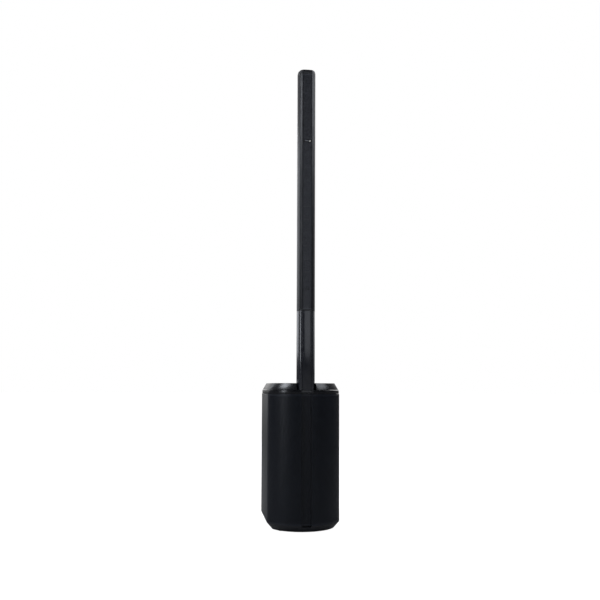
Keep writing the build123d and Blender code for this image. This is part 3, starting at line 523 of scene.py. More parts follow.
# black knitted cloth behind the grille, drawn near-black: its colour is painted shade for the dark inside
# seen through the holes
clothPaintedShade = wovenCloth("clothPaintedShade", {
    "dark": "#030303", "light": "#0b0b0c", "thread": 0.9 * mm, "sheen": 0.05, "rough": 0.95, "bump": 0.6,
})
# resin-dipped cotton of the spider
dippedCloth = wovenCloth("dippedCloth", {
    "dark": "#6b4a20", "light": "#a9814a", "thread": 0.8 * mm, "sheen": 0.15, "rough": 0.85, "bump": 0.7,
})
print("finishes ready")

finishOf = {
    "cabinet_plastic": grainedAbs, "grille_steel": powderCoat, "column_gloss": polishedPc,
    "column_plastic": satinAbs, "panel_plastic": panelAbs, "foot_rubber": softRubber,
    "grip_rubber": softRubber, "knob_plastic": knobPlastic, "button_plastic": keySilicone,
    "jack_plastic": nylonBlack, "jack_metal": nickelPlate, "baffle_board": grainedAbs,
    "cone_paper": coneFibre, "spider_cloth": dippedCloth, "frame_metal": stampedSteel,
    "driver_frame_plastic": nylonBlack, "magnet_metal": zincPlate, "coil_metal": extrudedAluminium,
    "port_plastic": nylonBlack, "board_laminate": boardLaminate, "sink_aluminium": extrudedAluminium,
    "screw_steel": oxideSteel, "contact_brass": tinnedBrass, "badge_plastic": brushedBadge,
}
for part in frame["record"]["subparts"]:
    node = frame["nodes"][part["node"]]
    node.data.materials.clear()
    node.data.materials.append(finishOf[part["material_slot"]])


# base

panLook = {
    "top": panBox[1].z, "bottom": panBox[0].z, "slope": 26 * mm, "run": 4.1 * mm, "gap": 0.6 * mm,
    "steps": 6, "notch": 7 * mm, "notchDepth": 32 * mm, "edge": 0.6 * mm,
}


def buildPan():
    look = panLook
    # the corner between the underside and the slope, drawn as a short curve
    corner = Vector((look["gap"] + look["slope"], look["bottom"]))
    upper = Vector((look["gap"], look["top"]))
    before = corner + Vector((look["run"], 0))
    after = corner + (upper - corner).normalized() * look["run"]
    rings = []
    for i in range(look["steps"] + 1):
        t = i / look["steps"]
        spot = before * (1 - t) ** 2 + corner * 2 * t * (1 - t) + after * t * t
        rings.append(planRing(spot.x, spot.y))
    rings.append(planRing(look["gap"], look["top"]))
    pan = loft("basePan", rings)
    half = columnPlan["flatHalf"]
    cut(pan, [box("notch", (-half, basePlan["front"] - past, look["top"] - look["notch"]),
                  (half, basePlan["front"] + look["notchDepth"], look["top"] + past))])
    roundEdges(pan, look["edge"], 2, 40)
    # the pan takes the array's paler plastic, not the cabinet's: its lighter colour is painted reflection of
    # the floor on the slope
    return dress(pan, satinAbs, "base", "cabinet_plastic", "base_pan")


cabinetLook = {"wall": 9 * mm, "edge": 1.0 * mm, "panelGap": 0.4 * mm}


def buildCabinet():
    low, high = cabinetBox[0].z, cabinetBox[1].z
    wall = cabinetLook["wall"]
    cabinet = loft("cabinet", [planRing(0, low), planRing(0, high)])
    room = loft("room", [planRing(wall, low + wall), planRing(wall, high - wall)])
    wide = basePlan["halfWidth"] + past
    # front half away: the grille closes it
    ahead = box("ahead", (-wide, basePlan["front"] - past, low - past),
                (wide, basePlan["crease"], high + past))
    gap = cabinetLook["panelGap"]
    mouth = box("mouth", (panelBox[0].x - gap, panelBox[0].y, panelBox[0].z - gap),
                (panelBox[1].x + gap, basePlan["rear"] + past, panelBox[1].z + gap))
    cut(cabinet, [room, ahead, mouth])
    roundEdges(cabinet, cabinetLook["edge"], 2, 35)
    return dress(cabinet, grainedAbs, "base", "cabinet_plastic", "cabinet_shell")


trayLook = {"wall": 5 * mm, "corner": 3 * mm, "mouthCorner": 0.5 * mm, "edge": 0.4 * mm}


def buildTray():
    # four walls that run in from the mouth to the panel
    look = trayLook
    low, high = panelBox
    gap, wall = 2 * cabinetLook["panelGap"], 2 * look["wall"]
    width, height = 2 * high.x + gap, high.z - low.z + gap
    outer = roundedOutline(width + wall, height + wall, look["corner"])
    inner = roundedOutline(width, height, look["mouthCorner"])
    tray = facingFrame("panelTray", outer, inner, (low.z + high.z) / 2, low.y,
                       basePlan["rear"] - cabinetLook["wall"])
    roundEdges(tray, look["edge"], 2, 40)
    return dress(tray, grainedAbs, "base", "cabinet_plastic")


trimLook = {"inset": 2 * mm, "wall": 9 * mm, "edge": 2.2 * mm, "gap": 1.0 * mm, "channelFloor": 3 * mm}


def buildTrim():
    low, high = trimBox[0].z + trimLook["gap"], trimBox[1].z
    inset, wall = trimLook["inset"], trimLook["wall"]
    trim = tube("trimRing", planOutline(inset), planOutline(inset + wall), low, high)
    half = columnPlan["flatHalf"]
    cut(trim, [box("channel", (-half, basePlan["front"] - past, low - past),
                   (half, columnPlan["front"] + trimLook["channelFloor"], high + past))])
    roundEdges(trim, trimLook["edge"], 4, 50)
    return dress(trim, fineAbs, "base", "cabinet_plastic", "trim_ring")


capLook = {
    "footInset": 4 * mm, "slope": 17 * mm, "pocket": 2.5 * mm, "edge": 1.2 * mm, "wellCorner": 9 * mm,
    "wellX": 132 * mm, "wellY": 92 * mm, "wellAt": 70 * mm, "wellDepth": 40 * mm, "seam": 1.8 * mm,
    "tubWall": 2.5 * mm, "tubLap": 4 * mm, "tubEdge": 1.5 * mm,
}


def wellOutline(grow):
    # the mouth of the handle's well, grown outwards
    look = capLook
    outline = roundedOutline(look["wellX"] + 2 * grow, look["wellY"] + 2 * grow, look["wellCorner"] + grow)
    return [(u, v + look["wellAt"]) for u, v in outline]


def buildCap():
    look = capLook
    low, high = trimBox[1].z + look["seam"], capBox[1].z
    foot, slope = look["footInset"], look["slope"]
    cap = loft("topCap", [planRing(foot, low), planRing(foot + slope, high)])
    pocket = prism("pocket", columnOutline(look["pocket"]), low - past, high + past)
    outline = wellOutline(0)
    well = prism("well", outline, low - past, high + past)
    # the pocket is open to the front over the whole width of the column
    mouthHalf = columnPlan["halfWidth"] + look["pocket"]
    mouth = box("mouth", (-mouthHalf, basePlan["front"] - past, low - past),
                (mouthHalf, columnPlan["front"] + columnPlan["widestFrom"], high + past))
    cut(cap, [pocket, well, mouth])
    roundEdges(cap, look["edge"], 3, 25)
    dress(cap, fineAbs, "base", "cabinet_plastic", "top_cap")
    # the well below the cap, as a tub
    outer = wellOutline(look["tubWall"])
    floor, rim = high - look["wellDepth"], low + look["tubLap"]
    rings = [[Vector((u, v, z)) for u, v in shape] for shape, z in
             ((outer, floor - look["tubWall"]), (outer, rim), (outline, rim), (outline, floor))]
    tub = loft("handleTub", rings)
    roundEdges(tub, look["tubEdge"], 3, 40)
    return dress(tub, grainedAbs, "base", "cabinet_plastic")


buildPan()
buildCabinet()
buildTray()
buildTrim()
buildCap()
print("base shells built")


# perforated steel, laid out by geometry nodes

def copyTree():
    # sets a copy of an object at each point, turned at random about Y as far as asked
    tree = bpy.data.node_groups.new("copiesAtPoints", "GeometryNodeTree")
    tree.interface.new_socket("Places", in_out="INPUT", socket_type="NodeSocketGeometry")
    sockets = {}
    for label, kind in (("Shape", "NodeSocketObject"), ("Finish", "NodeSocketMaterial"),
                        ("Turn", "NodeSocketFloat"), ("Seed", "NodeSocketInt")):
        sockets[label] = tree.interface.new_socket(label, in_out="INPUT", socket_type=kind).identifier
    tree.interface.new_socket("Geometry", in_out="OUTPUT", socket_type="NodeSocketGeometry")
    given = addNode(tree, "NodeGroupInput").outputs
    info = addNode(tree, "GeometryNodeObjectInfo", {"Object": given["Shape"]})
    turn = addNode(tree, "FunctionNodeRandomValue", {"Seed": given["Seed"], 3: given["Turn"]},
                   data_type="FLOAT")
    spin = addNode(tree, "CombineXYZ", {"Y": turn.outputs[1]})
    copies = addNode(tree, "GeometryNodeInstanceOnPoints", {"Points": given["Places"],
                                                            "Instance": info.outputs["Geometry"],
                                                            "Rotation": spin})
    real = addNode(tree, "GeometryNodeRealizeInstances", {"Geometry": copies})
    finished = addNode(tree, "GeometryNodeSetMaterial", {"Geometry": real, "Material": given["Finish"]})
    addNode(tree, "NodeGroupOutput", {"Geometry": finished})
    return tree, sockets


def setCopies(name, places, shape, finish, turn=0.0, seed=1):
    tree, sockets = copyTree()
    piece = meshFrom(name, places, [])
    mod = piece.modifiers.new("copies", "NODES")
    mod.node_group = tree
    for label, value in (("Shape", shape), ("Finish", finish), ("Turn", turn), ("Seed", seed)):
        mod[sockets[label]] = value
    piece.update_tag()
    bpy.context.view_layer.update()
    bake(piece, 30)
    bpy.data.objects.remove(shape)
    return piece


def hexCell(pitch, holeShare, thickness):
    # one cell of the sheet: a hexagon with a hexagonal hole and the hole's wall
    points, faces = [], []
    outer = pitch / math.sqrt(3)
    for radius, z in ((outer, 0.0), (outer * holeShare, 0.0), (outer * holeShare, -thickness)):
        for i in range(6):
            a = math.radians(30 + 60 * i)
            points.append(Vector((radius * math.cos(a), radius * math.sin(a), z)))
    for i in range(6):
        k = (i + 1) % 6
        faces += [(i, k, 6 + k, 6 + i), (6 + i, 6 + k, 12 + k, 12 + i)]
    mesh = bpy.data.meshes.new("hexCell")
    mesh.from_pydata([tuple(p) for p in points], [], faces)
    cell = bpy.data.objects.new("hexCell", mesh)
    bpy.context.scene.collection.objects.link(cell)
    return cell


def growSheet(name, look, columns, rows, start, low, finish, bend):
    # staggered rows of cells laid out flat, then bent to the front they close
    rise = look["pitch"] * math.sqrt(3) / 2
    places = []
    for row in range(rows):
        for column in range(columns):
            places.append(Vector((start + (column + 0.5 * (row % 2)) * look["pitch"], low + row * rise, 0)))
    sheet = setCopies(name, places, hexCell(look["pitch"], look["holeShare"], look["sheet"]), finish)
    for vertex in sheet.data.vertices:
        vertex.co = bend(*vertex.co)
    sheet.data.polygons.foreach_set("use_smooth", [False] * len(sheet.data.polygons))
    sheet.data.update()
    return sheet


grilleLook = {
    "pitch": 4.4 * mm, "holeShare": 0.62, "sheet": 1.2 * mm, "border": 7 * mm, "cloth": 2.2 * mm,
    "channel": columnPlan["flatHalf"], "wallRun": 1.2 * mm, "deeper": 4.5 * mm, "clear": 0.4 * mm,
    "sideClear": 0.3 * mm, "lap": 0.2, "clothThick": 0.6 * mm, "steps": 60,
}


def frontArc():
    bulge = basePlan["crease"] - basePlan["front"]
    radius = (basePlan["halfWidth"] ** 2 + bulge ** 2) / (2 * bulge)
    return radius, basePlan["front"] + radius


def bendToFront(u, v, w):
    # round the front arc, with the flat-bottomed channel down the middle
    radius, centreY = frontArc()
    look = grilleLook
    x = (radius + w) * math.sin(u / radius)
    yArc = centreY - (radius + w) * math.cos(u / radius)
    yFloor = columnPlan["front"] + look["deeper"] - w
    inside = min(max((look["channel"] + look["wallRun"] - abs(x)) / look["wallRun"], 0), 1)
    return Vector((x, yArc + (yFloor - yArc) * inside, v))


def bendToArray(u, v, w):
    # straight across the flat front of the array
    return Vector((u, columnPlan["front"] + arrayLook["sheetBack"] - w, v))


def buildFrontGrille():
    look = grilleLook
    radius = frontArc()[0]
    halfArc = radius * math.asin(basePlan["halfWidth"] / radius) - look["border"]
    low, high = grilleBox[0].z + look["border"], grilleBox[1].z - look["border"]
    columns = int(halfArc / look["pitch"])
    rows = int((high - low) / (look["pitch"] * math.sqrt(3) / 2))
    for name, start in (("grilleSheetRight", 0.0), ("grilleSheetLeft", -columns * look["pitch"])):
        sheet = growSheet(name, look, columns, rows, start, low + look["pitch"] / 2, powderCoat, bendToFront)
        dress(sheet, powderCoat, "base", "grille_steel", "front_grille")
    return columns * look["pitch"] / radius


def arcPoint(angle, out, z):
    radius, centreY = frontArc()
    x = (radius + out) * math.sin(angle)
    y = centreY - (radius + out) * math.cos(angle)
    if abs(x) <= grilleLook["channel"] + 1e-6:
        y = columnPlan["front"] + grilleLook["deeper"] - out
    return Vector((x, y, z))


def arcAngles(spread, steps):
    # even steps round the arc, with a pair at each side of the channel and none beside those
    radius = frontArc()[0]
    edge = math.asin(grilleLook["channel"] / radius)
    lip = math.asin((grilleLook["channel"] + grilleLook["wallRun"]) / radius)
    angles = [-spread + 2 * spread * i / steps for i in range(steps + 1)]
    angles = [a for a in angles if abs(a) > lip * 1.02 or abs(a) < edge * 0.98]
    return sorted(angles + [-lip, -edge, edge, lip])


def arcBand(name, angles, low, high, outer, inner):
    # a curved band of sheet between two heights
    rings = []
    for out, z in ((outer, low), (outer, high), (inner, high), (inner, low), (outer, low)):
        rings.append([arcPoint(a, out, z) for a in angles])
    count = len(angles)
    points = [p for ring in rings for p in ring]
    faces = []
    for level in range(4):
        for i in range(count - 1):
            a = level * count + i
            faces.append((a, a + 1, a + 1 + count, a + count))
    for i in (0, count - 1):
        faces.append(tuple(level * count + i for level in range(4)))
    return meshFrom(name, points, faces, 30)


def buildGrilleFrame(holeSpread):
    look = grilleLook
    radius = frontArc()[0]
    spread = math.asin(basePlan["halfWidth"] / radius) - look["sideClear"] / radius
    low, high = grilleBox[0].z + look["clear"], grilleBox[1].z - look["clear"]
    full = arcAngles(spread, look["steps"])
    outer, inner = 0.0, -look["sheet"]
    side = [holeSpread, (holeSpread + spread) / 2, spread]
    otherSide = [-a for a in reversed(side)]
    start, end = low + look["border"], high - look["border"]
    lap = look["pitch"] * look["lap"]
    pieces = [
        arcBand("grilleFoot", full, low, start + lap, outer, inner),
        arcBand("grilleHead", full, end - lap, high, outer, inner),
        arcBand("grilleEdgeRight", side, start, end, outer, inner),
        arcBand("grilleEdgeLeft", otherSide, start, end, outer, inner),
    ]
    for piece in pieces:
        dress(piece, powderCoat, "base", "grille_steel", "front_grille")
    # the near-black cloth is painted shade behind the holes
    cloth = arcBand("grilleCloth", full, low, high, -look["cloth"], -look["cloth"] - look["clothThick"])
    dress(cloth, clothPaintedShade, "base", "grille_steel", "front_grille")


buildGrilleFrame(buildFrontGrille())
print("front grille built")


# column

columnLook = {
    "wall": 3 * mm, "edge": 1.1 * mm, "groove": 2.8 * mm, "grooveDepth": 1.8 * mm, "sideGroove": 2.6 * mm,
    "seam": 0.1 * mm, "apart": 0.01 * mm,
}


def grooved(outline):
    # a fine groove at each front corner, where the moulding's face strip is let in
    look = columnLook
    half = columnPlan["flatHalf"]
    points = []
    for x, y in outline:
        if abs(abs(x) - half) < 1 * mm and y < columnPlan["front"] + 3 * mm:
            side = 1 if x > 0 else -1
            lip = [(x - side * look["groove"], y), (x - side * look["groove"] * 0.8, y + look["grooveDepth"]),
                   (x - side * look["groove"] * 0.2, y + look["grooveDepth"]), (x, y)]
            points += lip if side > 0 else list(reversed(lip))
        else:
            points.append((x, y))
    return points


def sideGrooves(low, high):
    # cutters for the line between the bevel and the side of the column
    look = columnLook
    y = columnPlan["front"] + columnPlan["bevelDepth"]
    half = look["sideGroove"] / 2
    return [box("sideGroove", (side * columnPlan["bevelHalf"] - half, y - half, low),
                (side * columnPlan["bevelHalf"] + half, y + half, high)) for side in (-1, 1)]


def buildExtension():
    low, high = extensionBox[0].z, extensionBox[1].z
    outer = grooved(columnOutline())
    inner = columnOutline(-columnLook["wall"])
    # inner corners behind a groove are repeated, so that both outlines have the same number of points
    repeated = []
    for i, p in enumerate(inner):
        repeated += [p] * (4 if i in (0, len(inner) - 1) else 1)
    # repeats stand a hair apart, because points that meet are merged
    inner = [(x + (i % 4) * columnLook["apart"], y) for i, (x, y) in enumerate(repeated)]
    shell = tube("extensionTube", outer, inner, low, high - columnLook["seam"])
    cut(shell, sideGrooves(low - past, high + past))
    roundEdges(shell, columnLook["edge"] * 0.5, 3, 20)
    return dress(shell, polishedPc, "extension", "column_gloss", "extension_shell")


arrayLook = {
    "pitch": 3.6 * mm, "holeShare": 0.66, "sheet": 1.0 * mm, "faceInset": 3.4 * mm, "seam": 0.3 * mm,
    "corner": 9 * mm, "border": 6 * mm, "sheetBack": 0.5 * mm, "housingEdge": 0.7 * mm,
    "footInset": 0.2 * mm, "footHeight": 5 * mm, "footEdge": 0.5 * mm, "stripLip": 0.6 * mm,
    "stripDeep": 2.4 * mm, "stripWall": 1.2 * mm, "stripReturn": 2 * mm, "stripEdge": 0.35 * mm,
    "stripStep": 0.2 * mm, "borderFront": 0.6 * mm, "borderBack": 1.7 * mm, "borderEdge": 0.2 * mm,
    "crownRadius": 260 * mm, "crownSteps": 40, "crownLap": 2 * mm, "crownEdge": 1.6 * mm,
}


def buildArrayHousing():
    look = arrayLook
    low, high = housingBox[0].z + look["seam"], housingBox[1].z - look["seam"]
    # a channel open to the front: the column's section without its face
    outer = columnOutline()[1:11]
    inner = columnOutline(-columnLook["wall"])[1:11]
    shell = prism("arrayHousing", outer + list(reversed(inner)), low, high)
    cut(shell, sideGrooves(low - past, high + past))
    roundEdges(shell, look["housingEdge"], 3, 20)
    dress(shell, satinAbs, "array", "column_plastic", "array_housing")
    foot = prism("arrayFoot", columnOutline(-look["footInset"]), low, low + look["footHeight"])
    roundEdges(foot, look["footEdge"], 2, 20)
    return dress(foot, satinAbs, "array", "column_plastic")


def buildArrayFront():
    look = arrayLook
    low, high = arrayGrilleBox[0].z, arrayGrilleBox[1].z
    flat, front = columnPlan["flatHalf"], columnPlan["front"]
    bevel, bevelBack = columnPlan["bevelHalf"], front + columnPlan["bevelDepth"]
    # side strips: the two bevels with a short return behind the face
    deep, wall, lip = front + look["stripDeep"], look["stripWall"], flat - look["stripLip"]
    inner = flat - look["faceInset"] - look["stripReturn"]
    shape = [(lip, deep), (lip, front), (flat, front), (bevel, bevelBack), (bevel - wall, bevelBack),
             (flat - look["stripStep"], deep + wall), (inner, deep + wall), (inner, deep)]
    for name, side in (("arrayStripRight", 1), ("arrayStripLeft", -1)):
        strip = prism(name, [(side * x, y) for x, y in shape], low, high)
        roundEdges(strip, look["stripEdge"], 2, 20)
        dress(strip, grainedAbs, "array", "grille_steel", "array_grille")
    half = flat - look["faceInset"] + look["stripReturn"]
    # the borders and the sheet take the grey coat whose lighter colour is painted light
    for name, start in (("arrayBorderFoot", low), ("arrayBorderHead", high - look["border"])):
        border = box(name, (-half, front + look["borderFront"], start),
                     (half, front + look["borderBack"], start + look["border"]))
        roundEdges(border, look["borderEdge"], 2, 30)
        dress(border, paintedLightCoat, "array", "grille_steel", "array_grille")
    columns = int(2 * (flat - look["faceInset"]) / look["pitch"]) + 1
    rows = int((high - low - 2 * mm) / (look["pitch"] * math.sqrt(3) / 2))
    sheet = growSheet("arrayPerforated", look, columns, rows, -(columns - 0.5) * look["pitch"] / 2,
                      low + look["pitch"] / 2, paintedLightCoat, bendToArray)
    dress(sheet, paintedLightCoat, "array", "grille_steel", "array_grille")


def buildArrayCap():
    look = arrayLook
    low, high = housingBox[1].z, arrayCapBox[1].z
    cap = prism("arrayCap", columnOutline(), low, high + look["crownLap"])
    # the crown: a wide arc over the top
    radius, steps, half = look["crownRadius"], look["crownSteps"], columnPlan["halfWidth"] + look["crownLap"]
    spread = math.asin(half / radius)
    arc = [(radius * math.sin(-spread + 2 * spread * i / steps),
            high - radius + radius * math.cos(-spread + 2 * spread * i / steps)) for i in range(steps + 1)]
    arc += [(half, low - past), (-half, low - past)]
    run = (columnPlan["front"] - past, extensionBox[1].y + past)
    crown = facingPrism("crown", arc, 0, 0, *run)
    tall = high - low
    outline = roundedOutline(2 * columnPlan["halfWidth"], 2 * tall, look["corner"], 8)
    corners = facingPrism("corners", outline, 0, high - tall, *run)
    cut(cap, [crown, corners], "INTERSECT")
    roundEdges(cap, look["crownEdge"], 4, 30)
    return dress(cap, satinAbs, "array", "column_plastic", "array_top_cap")


badgeLook = {
    "frame": 0.9 * mm, "edge": 0.3 * mm, "stripe": (18 * mm, 1.1 * mm), "stripeCorner": 0.5 * mm,
    "stripeAt": -3 * mm, "stripeProud": 0.25 * mm, "sink": 0.3 * mm, "dot": 3.2 * mm, "dotAt": 11 * mm,
    "dotStep": 0.2 * mm, "dotProud": 0.4 * mm, "dotTop": 0.92, "dotEdge": 0.1 * mm,
    "borderDeep": 0.3 * mm, "borderProud": 0.6 * mm, "borderEdge": 0.15 * mm,
}


def buildBadge():
    look = badgeLook
    low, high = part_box("badge_plate")
    middle = (low + high) / 2
    width, height = high.x - low.x, high.z - low.z
    inner = roundedOutline(width, height, height / 3)
    plate = facingPrism("badgePlate", inner, 0, middle.z, low.y, high.y)
    roundEdges(plate, look["edge"], 2, 30)
    dress(plate, nylonBlack, "array", "badge_plastic", "badge_plate")
    # a plain stripe and dot, with no lettering
    back = low.y + look["sink"]
    outline = roundedOutline(*look["stripe"], look["stripeCorner"])
    face = low.y - look["stripeProud"]
    stripe = facingPrism("badgeStripe", outline, look["stripeAt"], middle.z, face, back)
    dress(stripe, brushedBadge, "array", "badge_plastic")
    dot, top = look["dot"], low.y - look["dotProud"]
    profile = [(tip, back), (dot, back), (dot, low.y - look["dotStep"]), (dot * look["dotTop"], top),
               (tip, top)]
    dot = turned("badgeDot", profile, Vector((look["dotAt"], 0, middle.z)))
    roundEdges(dot, look["dotEdge"], 2, 30)
    dress(dot, nickelPlate, "array", "badge_plastic")
    grow = look["frame"]
    outer = roundedOutline(width + 2 * grow, height + 2 * grow, height / 3 + grow)
    border = facingFrame("badgeBorder", outer, inner, middle.z, high.y + look["borderDeep"],
                         high.y - look["borderProud"])
    roundEdges(border, look["borderEdge"], 2, 30)
    return dress(border, nylonBlack, "array", "badge_plastic")


buildExtension()
buildArrayHousing()
buildArrayFront()
buildArrayCap()
buildBadge()
print("column built")


# controls

knobLook = {
    "ribs": 30, "ribHeight": 0.5 * mm, "ribWidth": 0.7 * mm, "ribSink": 0.25 * mm, "skirt": 1.0 * mm,
    "ribFrom": 2.85 * mm, "ribTo": 1.65 * mm, "edge": 0.15 * mm, "markWidth": 1.1 * mm,
    "markCorner": 0.5 * mm, "markSink": 0.4 * mm, "markProud": 0.02 * mm, "ring": (1.8 * mm, 3.2 * mm),
    "ringSink": 0.4 * mm, "ringProud": 0.25 * mm, "ringEdge": 0.1 * mm,
}


def buildKnobs():
    look = knobLook
    face = panelBox[1].y
    for number in (1, 2, 3):
        node, body = "knob_%d" % number, "knob_turn_%d" % number
        low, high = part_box(node)
        middle = (low + high) / 2
        radius = (high.x - low.x) / 2
        core = radius - look["ribHeight"]
        # skirt, grip and dished top, from the panel outwards
        profile = [(core - 0.6 * mm, low.y), (radius, low.y + 0.2 * mm), (radius, low.y + look["skirt"]),
                   (core, low.y + look["skirt"] + 0.8 * mm), (core - 0.5 * mm, high.y - 1.0 * mm),
                   (core - 1.5 * mm, high.y), (radius * 0.55, high.y - 0.1 * mm),
                   (radius * 0.5, high.y - 0.7 * mm)]
        knob = turned("knobBody%d" % number, profile, middle)
        roundEdges(knob, look["edge"], 2, 30)
        dress(knob, knobPlastic, body, "knob_plastic", node)
        profile = [(look["ribWidth"] / 2, y) for y in (low.y + look["ribFrom"], high.y - look["ribTo"])]
        rib = turned("knobRib", profile, Vector(), 8)
        places = []
        for i in range(look["ribs"]):
            a = 2 * math.pi * i / look["ribs"]
            spot = middle + Vector((math.cos(a), 0, math.sin(a))) * (core - look["ribSink"])
            places.append(Vector((spot.x, 0, spot.z)))
        ribs = setCopies("knobRibs%d" % number, places, rib, knobPlastic)
        dress(ribs, knobPlastic, body, "knob_plastic", node)
        outline = roundedOutline(look["markWidth"], radius * 0.36, look["markCorner"])
        pointer = facingPrism("knobMark%d" % number, outline, middle.x, middle.z + radius * 0.72,
                              high.y - look["markSink"], high.y + look["markProud"])
        dress(pointer, panelInk, body, "knob_plastic")
        # light ring let into the panel round the knob
        halo = openRing("lightRing%d" % number, *[radius + out for out in look["ring"]],
                        face - look["ringSink"], face + look["ringProud"], middle, 64)
        roundEdges(halo, look["ringEdge"], 2, 30)
        dress(halo, ringLens, "base", "button_plastic")


keyNames = ["mute_button_1", "mute_button_2", "mute_button_3", "preset_button_1", "preset_button_2",
            "pair_button", "eq_button", "standby_button"]
keyLook = {"flange": 1.5 * mm, "flangeDeep": 2.5 * mm, "corner": 2.0 * mm, "edge": 0.12 * mm}


def buildKeys():
    look = keyLook
    rim = look["flange"]
    for node in keyNames:
        low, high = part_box(node)
        middle = (low + high) / 2
        width, height = high.x - low.x - 2 * rim, high.z - low.z - 2 * rim
        back = low.y + look["flangeDeep"]
        rings = []
        # the top is slightly domed: each step is drawn in, then up
        for grow, y in ((0, back), (0, high.y - 0.9 * mm), (-0.35 * mm, high.y - 0.35 * mm),
                        (-1.0 * mm, high.y)):
            outline = roundedOutline(width + 2 * grow, height + 2 * grow, look["corner"] + grow)
            rings.append([Vector((middle.x + u, y, middle.z + v)) for u, v in outline])
        key = loft(node + "_key", rings)
        roundEdges(key, look["edge"], 2, 30)
        dress(key, keySilicone, node + "_body", "button_plastic", node)
        outline = roundedOutline(width + 2 * rim, height + 2 * rim, look["corner"] + rim)
        flange = facingPrism(node + "_flange", outline, middle.x, middle.z, low.y, back)
        dress(flange, keySilicone, node + "_body", "button_plastic", node)


screwLook = {
    "head": 3.4 * mm, "headHeight": 1.6 * mm, "cross": 2.0 * mm, "slot": 0.75 * mm, "deep": 0.9 * mm,
    "tip": 0.001 * mm, "sink": 0.2 * mm, "rise": (0.35 * mm, 1.1 * mm), "edge": 0.12 * mm,
}


def screwHead(scale):
    # a pan head with a cross recess, its axis along Y
    look = screwLook
    radius, height, sink = look["head"], look["headHeight"], look["sink"]
    first, second = look["rise"]
    profile = [(look["tip"], -sink), (radius, -sink), (radius, first), (radius * 0.86, second),
               (radius * 0.5, height), (look["tip"], height)]
    head = turned("screwHead", profile, Vector(), 24)
    floor, top = height - look["deep"], height + past
    long, half = look["cross"], look["slot"] / 2
    cut(head, [box("slotA", (-long, floor, -half), (long, top, half)),
               box("slotB", (-half, floor, -long), (half, top, long))])
    roundEdges(head, look["edge"], 1, 40)
    head.data.transform(Matrix.Scale(scale, 4))
    return head


def buildScrews():
    low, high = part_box("case_screws")
    r = screwLook["head"]
    xs = (low.x + r, high.x - r)
    zs = (low.z + r, (low.z + high.z) / 2, high.z - r)
    places = [Vector((x, panelBox[1].y, z)) for x in xs for z in zs]
    screws = setCopies("panelScrews", places, screwHead(1.0), oxideSteel, 2 * math.pi, 7)
    dress(screws, oxideSteel, "base", "screw_steel", "case_screws")


driverLook = {"count": 16, "screwAcross": 23.5 * mm, "screwScale": 0.62}


def buildDriverScrews():
    # four screws in the corners of each small driver's frame
    low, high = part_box("driver_baskets")
    side = high.x - low.x
    step = (high.z - low.z - side) / (driverLook["count"] - 1)
    across = driverLook["screwAcross"]
    places = []
    for i in range(driverLook["count"]):
        middle = low.z + side / 2 + i * step
        places += [Vector((u * across, low.y, middle + v * across)) for u in (-1, 1) for v in (-1, 1)]
    head = screwHead(driverLook["screwScale"])
    head.data.transform(Matrix.Rotation(math.pi, 4, "Z"))
    screws = setCopies("driverScrews", places, head, zincPlate, 2 * math.pi, 11)
    dress(screws, zincPlate, "array", "screw_steel")


markLook = {
    "line": 0.5 * mm, "proud": 0.12 * mm, "sink": 0.2 * mm, "corner": 0.2 * mm,
    "dividers": (-36 * mm, 36 * mm), "dividerHeight": 176 * mm, "dividerAt": 200 * mm,
    "rows": (80 * mm, 128 * mm, 228 * mm), "rowMargin": 12 * mm, "frameX": 12 * mm, "frameZ": 8 * mm,
    "frameLine": 0.6 * mm, "frameCorner": 5 * mm, "dots": 9, "dotsFrom": -130, "dotsOver": 260,
    "dotsOut": 19 * mm, "dot": 0.7, "dotGrow": 0.09, "socketGap": 1.2 * mm, "strokeDrop": 2.2 * mm,
    "strokeStep": 1.6 * mm, "stroke": 0.7 * mm, "strokes": (4 * mm, 2.2 * mm), "lensRise": 3.4 * mm,
    "lens": 1.1 * mm, "lensTop": 0.8 * mm,
}


def joined(name, pieces):
    # one piece from several
    mesh = bpy.data.meshes.new(name)
    bm = bmesh.new()
    for piece in pieces:
        bm.from_mesh(piece.data)
        bpy.data.objects.remove(piece)
    bm.to_mesh(mesh)
    bm.free()
    whole = bpy.data.objects.new(name, mesh)
    bpy.context.scene.collection.objects.link(whole)
    return whole


def mark(width, height, x, z, corner=markLook["corner"]):
    face = panelBox[1].y
    return facingPrism("mark", roundedOutline(width, height, corner, 3), x, z, face - markLook["sink"],
                       face + markLook["proud"])


